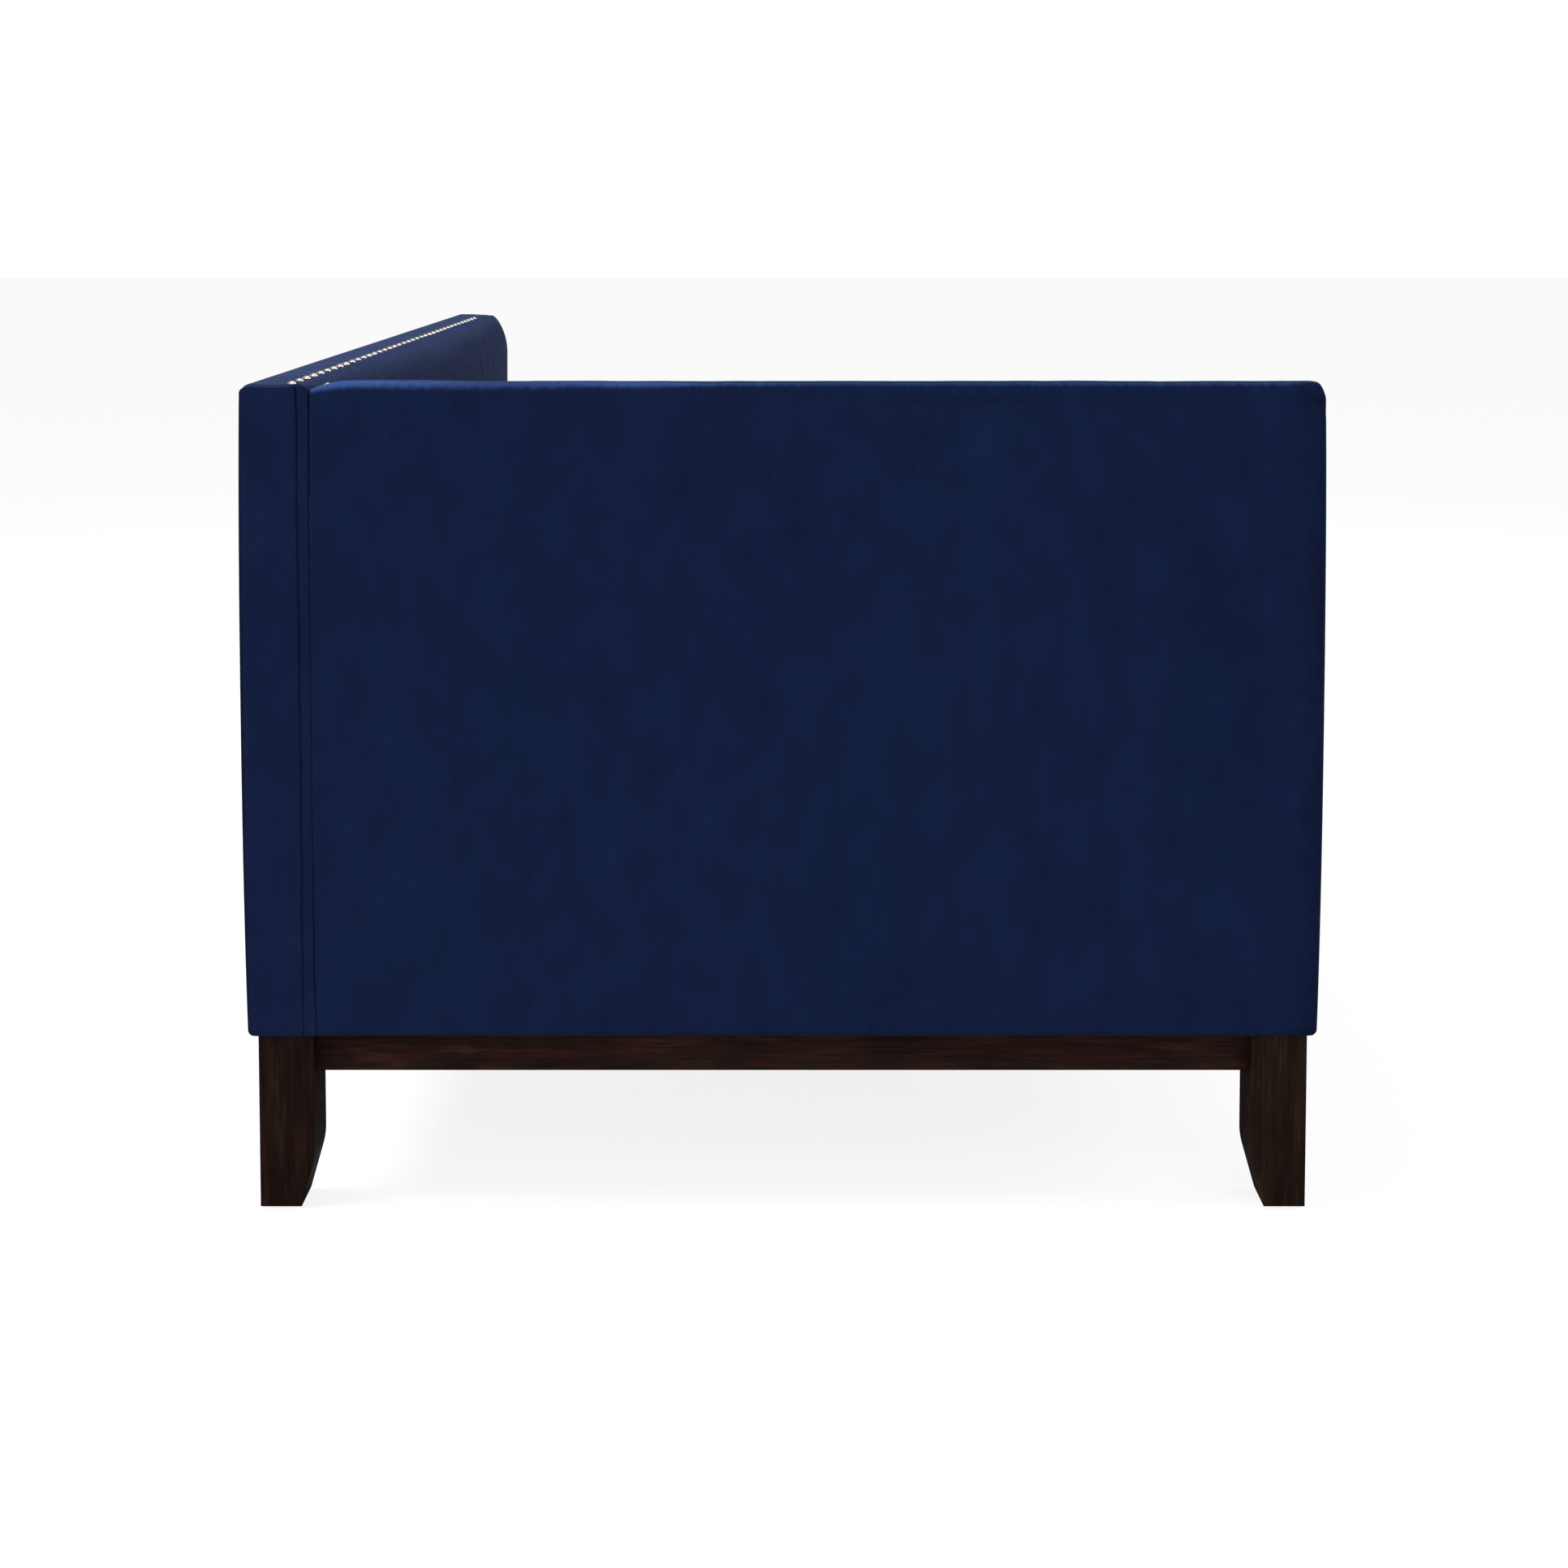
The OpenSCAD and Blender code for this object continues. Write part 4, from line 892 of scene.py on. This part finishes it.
def back_pad():
    """Stuffed inside of the back, from the nail line down to the deck."""
    rear = BAND_SEAM - 0.3 * MM

    def profile(u):
        free = ramp(u, ARM_IN, ARM_IN + 0.012)
        depth = PAD_EDGE + PAD_CROWN * swell(u, ARM_IN - 0.02, X_OPEN, 2.6)
        squeezed = rear - ARM_REAR - 5 * MM
        return 5 * MM - 3 * MM * free, squeezed + (depth - squeezed) * free, (9 + 53 * free) * MM

    local, faces = pad_points(X_ARM + 0.2 * MM, X_OPEN, BACK_TOP, (2.5 * MM, 7 * MM), profile)
    points = np.stack([local[:, 0], rear - local[:, 1], local[:, 2]], 1)
    faces = faces[:, ::-1]
    normals = normals_of(points, faces)
    front = np.clip(np.clip(-normals[:, 1], 0, 1) + np.clip(normals[:, 2], 0, 1), 0, 1)
    drop = BACK_TOP - points[:, 2]
    amount, painted_shading = stuffed(points[:, 0], points[:, 2], drop, BACK_FOLDS, BACK_PAD_SEED)
    amount *= front * ramp(points[:, 0], ARM_IN + 0.005, ARM_IN + 0.03)
    amount += 0.8 * MM * bell(points[:, 1], NAIL_LINE, 9 * MM) * np.clip(normals[:, 2], 0, 1)
    moved = points + normals * amount[:, None]
    moved[:, 2] -= open_end_sag(points, 0.1)
    # Painted shade, darker lower down and towards the open end, over the stuffing's painted light
    # and shade
    shaded = 0.3 * ramp(drop, 0.0, 0.13) * (0.6 + 0.4 * ramp(points[:, 0], -0.6, 0.9))
    upholster("back_pad_velvet", moved, faces, "inside_back_pad", painted_shading * 0.3 - shaded,
              velvet_inside)


def arm_pad():
    """Stuffed inside of the arm."""
    rear = ARM_PAD_LO.x - MM

    def profile(u):
        depth = PAD_EDGE + PAD_CROWN * swell(u, Y_FRONT, ARM_PAD_HI.y, 2.6)
        return np.full(len(u), 3 * MM), depth, np.full(len(u), ROLL)

    # The pad runs on behind the back's pad, so that no frame shows in the inner corner
    far_end = ARM_PAD_HI.y + 25 * MM
    local, faces = pad_points(Y_FRONT, far_end, ARM_TOP, (7 * MM, 3 * MM), profile)
    points = np.stack([rear + local[:, 1], local[:, 0], local[:, 2]], 1)
    faces = faces[:, ::-1]
    normals = normals_of(points, faces)
    front = np.clip(np.clip(normals[:, 0], 0, 1) + np.clip(normals[:, 2], 0, 1), 0, 1)
    drop = ARM_TOP - points[:, 2]
    amount, painted_shading = stuffed(points[:, 1], points[:, 2], drop, ARM_FOLDS, ARM_PAD_SEED)
    moved = points + normals * (amount * front)[:, None]
    upholster("arm_pad_velvet", moved, faces, "inside_arm_pad", painted_shading * 0.3)


# Loose cushion

# Rounding of the cushion's long edges and of its upright corners, and how far in the seams lie
EDGE = 10 * MM
CORNER = 18 * MM
SEAM_IN = 0.3 * EDGE
# The most that the filling may raise the cover
CUSHION_RISE = 17 * MM
# Box of the cushion before it is filled, inside its solid
BOX_LO = np.array(CUSHION_LO) + (4 * MM, 4 * MM, 0)
BOX_HI = np.array(CUSHION_HI) - (4 * MM, 8 * MM, CUSHION_RISE + 2 * MM)
BOX_MIDDLE = (BOX_LO + BOX_HI) / 2
BOX_HALF = (BOX_HI - BOX_LO) / 2
# Grid step on each axis, and the step of the closer rows beside the seams
CUSHION_STEP = (8.5 * MM, 8.5 * MM, 16 * MM)
SEAM_STEP = 3 * MM
# Mesh size, pressure and length of the cloth simulation
VOXEL = 14 * MM
PRESSURE = 3.0
FRAMES = 20


def evaluated_mesh(piece):
    """A new mesh of an object as its modifiers leave it."""
    depsgraph = bpy.context.evaluated_depsgraph_get()
    return bpy.data.meshes.new_from_object(piece.evaluated_get(depsgraph))


def places_of(mesh):
    """Places of a mesh's points, one row each."""
    places = np.empty(len(mesh.vertices) * 3)
    mesh.vertices.foreach_get("co", places)
    return places.reshape(-1, 3)


def inflate(points, faces, pinned):
    """Blow a closed shape up as cloth. Pinned says which points stay. Gives the remeshed points and
    their moves, which come closer and closer to the most that they may be."""
    blown = new_object("inflate", points, faces.tolist())
    remesh = blown.modifiers.new("remesh", "REMESH")
    remesh.mode = "VOXEL"
    remesh.voxel_size = VOXEL
    even = evaluated_mesh(blown)
    blown.modifiers.clear()
    blown.data = even
    start = places_of(even)
    group = blown.vertex_groups.new(name="held")
    for index in np.nonzero(pinned(start))[0]:
        group.add([int(index)], 1.0, "REPLACE")
    cloth = blown.modifiers.new("cloth", "CLOTH")
    settings = cloth.settings
    settings.quality = 4
    settings.mass = 0.3
    settings.tension_stiffness = settings.compression_stiffness = 12
    settings.shear_stiffness = 4
    settings.bending_stiffness = 0.6
    settings.use_pressure = True
    settings.uniform_pressure_force = PRESSURE
    settings.effector_weights.gravity = 0
    settings.vertex_group_mass = "held"
    cloth.collision_settings.use_collision = False
    scene = bpy.context.scene
    for number in range(1, FRAMES + 1):
        scene.frame_set(number)
    move = places_of(evaluated_mesh(blown)) - start
    length = np.linalg.norm(move, axis=1, keepdims=True)
    move *= CUSHION_RISE * np.tanh(length / CUSHION_RISE) / np.maximum(length, 1e-9)
    bpy.data.objects.remove(blown)
    scene.frame_set(1)
    return start, move


def past_corner(points):
    """How far each point is past the start of the upright corners, along X and along Y."""
    return np.abs(points[:, :2] - BOX_MIDDLE[:2]) - (BOX_HALF[:2] - CORNER)


def seam_distance(points):
    """Distance of each point from the nearer of the two seams, and from the upper one."""
    past = past_corner(points)
    outside = np.linalg.norm(np.maximum(past, 0), axis=1) + np.minimum(past.max(axis=1), 0)
    inset = CORNER - outside
    upper = np.hypot(inset - SEAM_IN, BOX_HI[2] - points[:, 2] - SEAM_IN)
    lower = np.hypot(inset - SEAM_IN, points[:, 2] - BOX_LO[2] - SEAM_IN)
    return np.minimum(upper, lower), upper


def cushion_stops(lo, hi, step):
    """Grid places with closer lines in the band beside each seam."""
    band = 24 * MM
    count = int(round((hi - lo - 2 * band) / step))
    inner = np.linspace(lo + band, hi - band, count)
    edge = stops(lo, hi, hi - lo, EDGE, EDGE)
    low = [place for place in edge if place < lo + EDGE + MM]
    beside = np.arange(lo + EDGE, lo + band - MM, SEAM_STEP)[1:]
    mirrored = lo + hi - np.array(low + list(beside))
    return np.concatenate([low, beside, inner, mirrored[::-1]])


def filling(points, faces):
    def held(at):
        return (seam_distance(at)[0] < 9 * MM) | (at[:, 2] < BOX_LO[2] + 3 * MM)

    at, move = inflate(points, faces, held)
    # Each point takes the mean move of the simulated points nearest to it
    tree = KDTree(len(at))
    for index, place in enumerate(at):
        tree.insert(place, index)
    tree.balance()
    found = np.zeros_like(points)
    for number, place in enumerate(points):
        near = tree.find_n(place, 5)
        weights = [1 / (distance + 2 * MM) ** 2 for _, _, distance in near]
        total = sum(weights)
        for weight, (_, index, _) in zip(weights, near):
            found[number] += move[index] * (weight / total)
    return found


def seat_cushion():
    """Loose box cushion: crowned top, flat underside, seams around the top and the bottom edge."""
    points, faces = box_grid([cushion_stops(*line) for line in zip(BOX_LO, BOX_HI, CUSHION_STEP)])
    points = round_off(points, BOX_LO, BOX_HI, np.full(3, EDGE), np.full(3, EDGE))
    # Upright corners are rounder than the seamed edges
    past = past_corner(points)
    both = np.minimum(np.maximum(past[:, 0], 0), np.maximum(past[:, 1], 0)) / CORNER
    points[:, :2] -= np.sign(points[:, :2] - BOX_MIDDLE[:2]) * (CORNER * 0.42 * both ** 2)[:, None]
    normals = normals_of(points, faces)
    distance, upper = seam_distance(points)
    move = filling(points, faces)
    share = (points - BOX_MIDDLE) / BOX_HALF
    moved = points.copy()
    moved[:, 2] += move[:, 2]
    # The sides draw in between the corners
    for axis, other in ((0, 1), (1, 0)):
        draw = 6 * MM * (1 - np.abs(share[:, other]) ** 4) * ramp(np.abs(share[:, axis]), 0.9, 1)
        moved[:, axis] += 0.4 * move[:, axis] - np.sign(share[:, axis]) * draw
    top, side = np.clip(normals[:, 2], 0, 1), 1 - np.abs(normals[:, 2])
    soft = 2.2 * lumps(points, (0.34, 0.3, 1), 101) + 0.9 * lumps(points, (0.13, 0.1, 1), 102)
    settled = soft * top * ramp(upper, 0.02, 0.09)
    settled += (0.9 * lumps(points, (0.18, 0.18, 0.3), 105) - 0.3) * side
    groove = bell(distance, 0, 2.4 * MM)
    beside = bell(distance, 7 * MM, 4.5 * MM)
    pucker = lumps(points, (0.019, 0.019, 1), 104) + 0.6 * lumps(points, (0.034, 0.034, 1), 106)
    pull = lumps(points, (0.05, 0.05, 1), 107) * bell(distance, 16 * MM, 22 * MM)
    amount = settled - 2.8 * groove + 1.0 * beside + pucker * bell(distance, 6 * MM, 9 * MM)
    amount += 1.3 * pull
    # The underside stays flat where it rests on the deck
    above = ramp(points[:, 2], BOX_LO[2] + 2 * MM, BOX_LO[2] + 6 * MM)
    moved += normals * (amount * above * MM)[:, None]
    # Painted shade in the seam grooves, and a painted highlight beside the seams and on the top's
    # lumps
    painted_shading = 0.06 * soft * top - 1.1 * bell(distance, 0, 1.9 * MM) + 0.12 * beside
    upholster("seat_cushion_velvet", moved, faces, "seat_cushion", painted_shading, body="cushion")


back_outside()
back_end("back_end_panel_arm", True)
back_end("back_end_panel_open", False)
arm_outside()
pad_side_strip()
seat_borders()
seat_deck()
back_pad()
arm_pad()
seat_cushion()
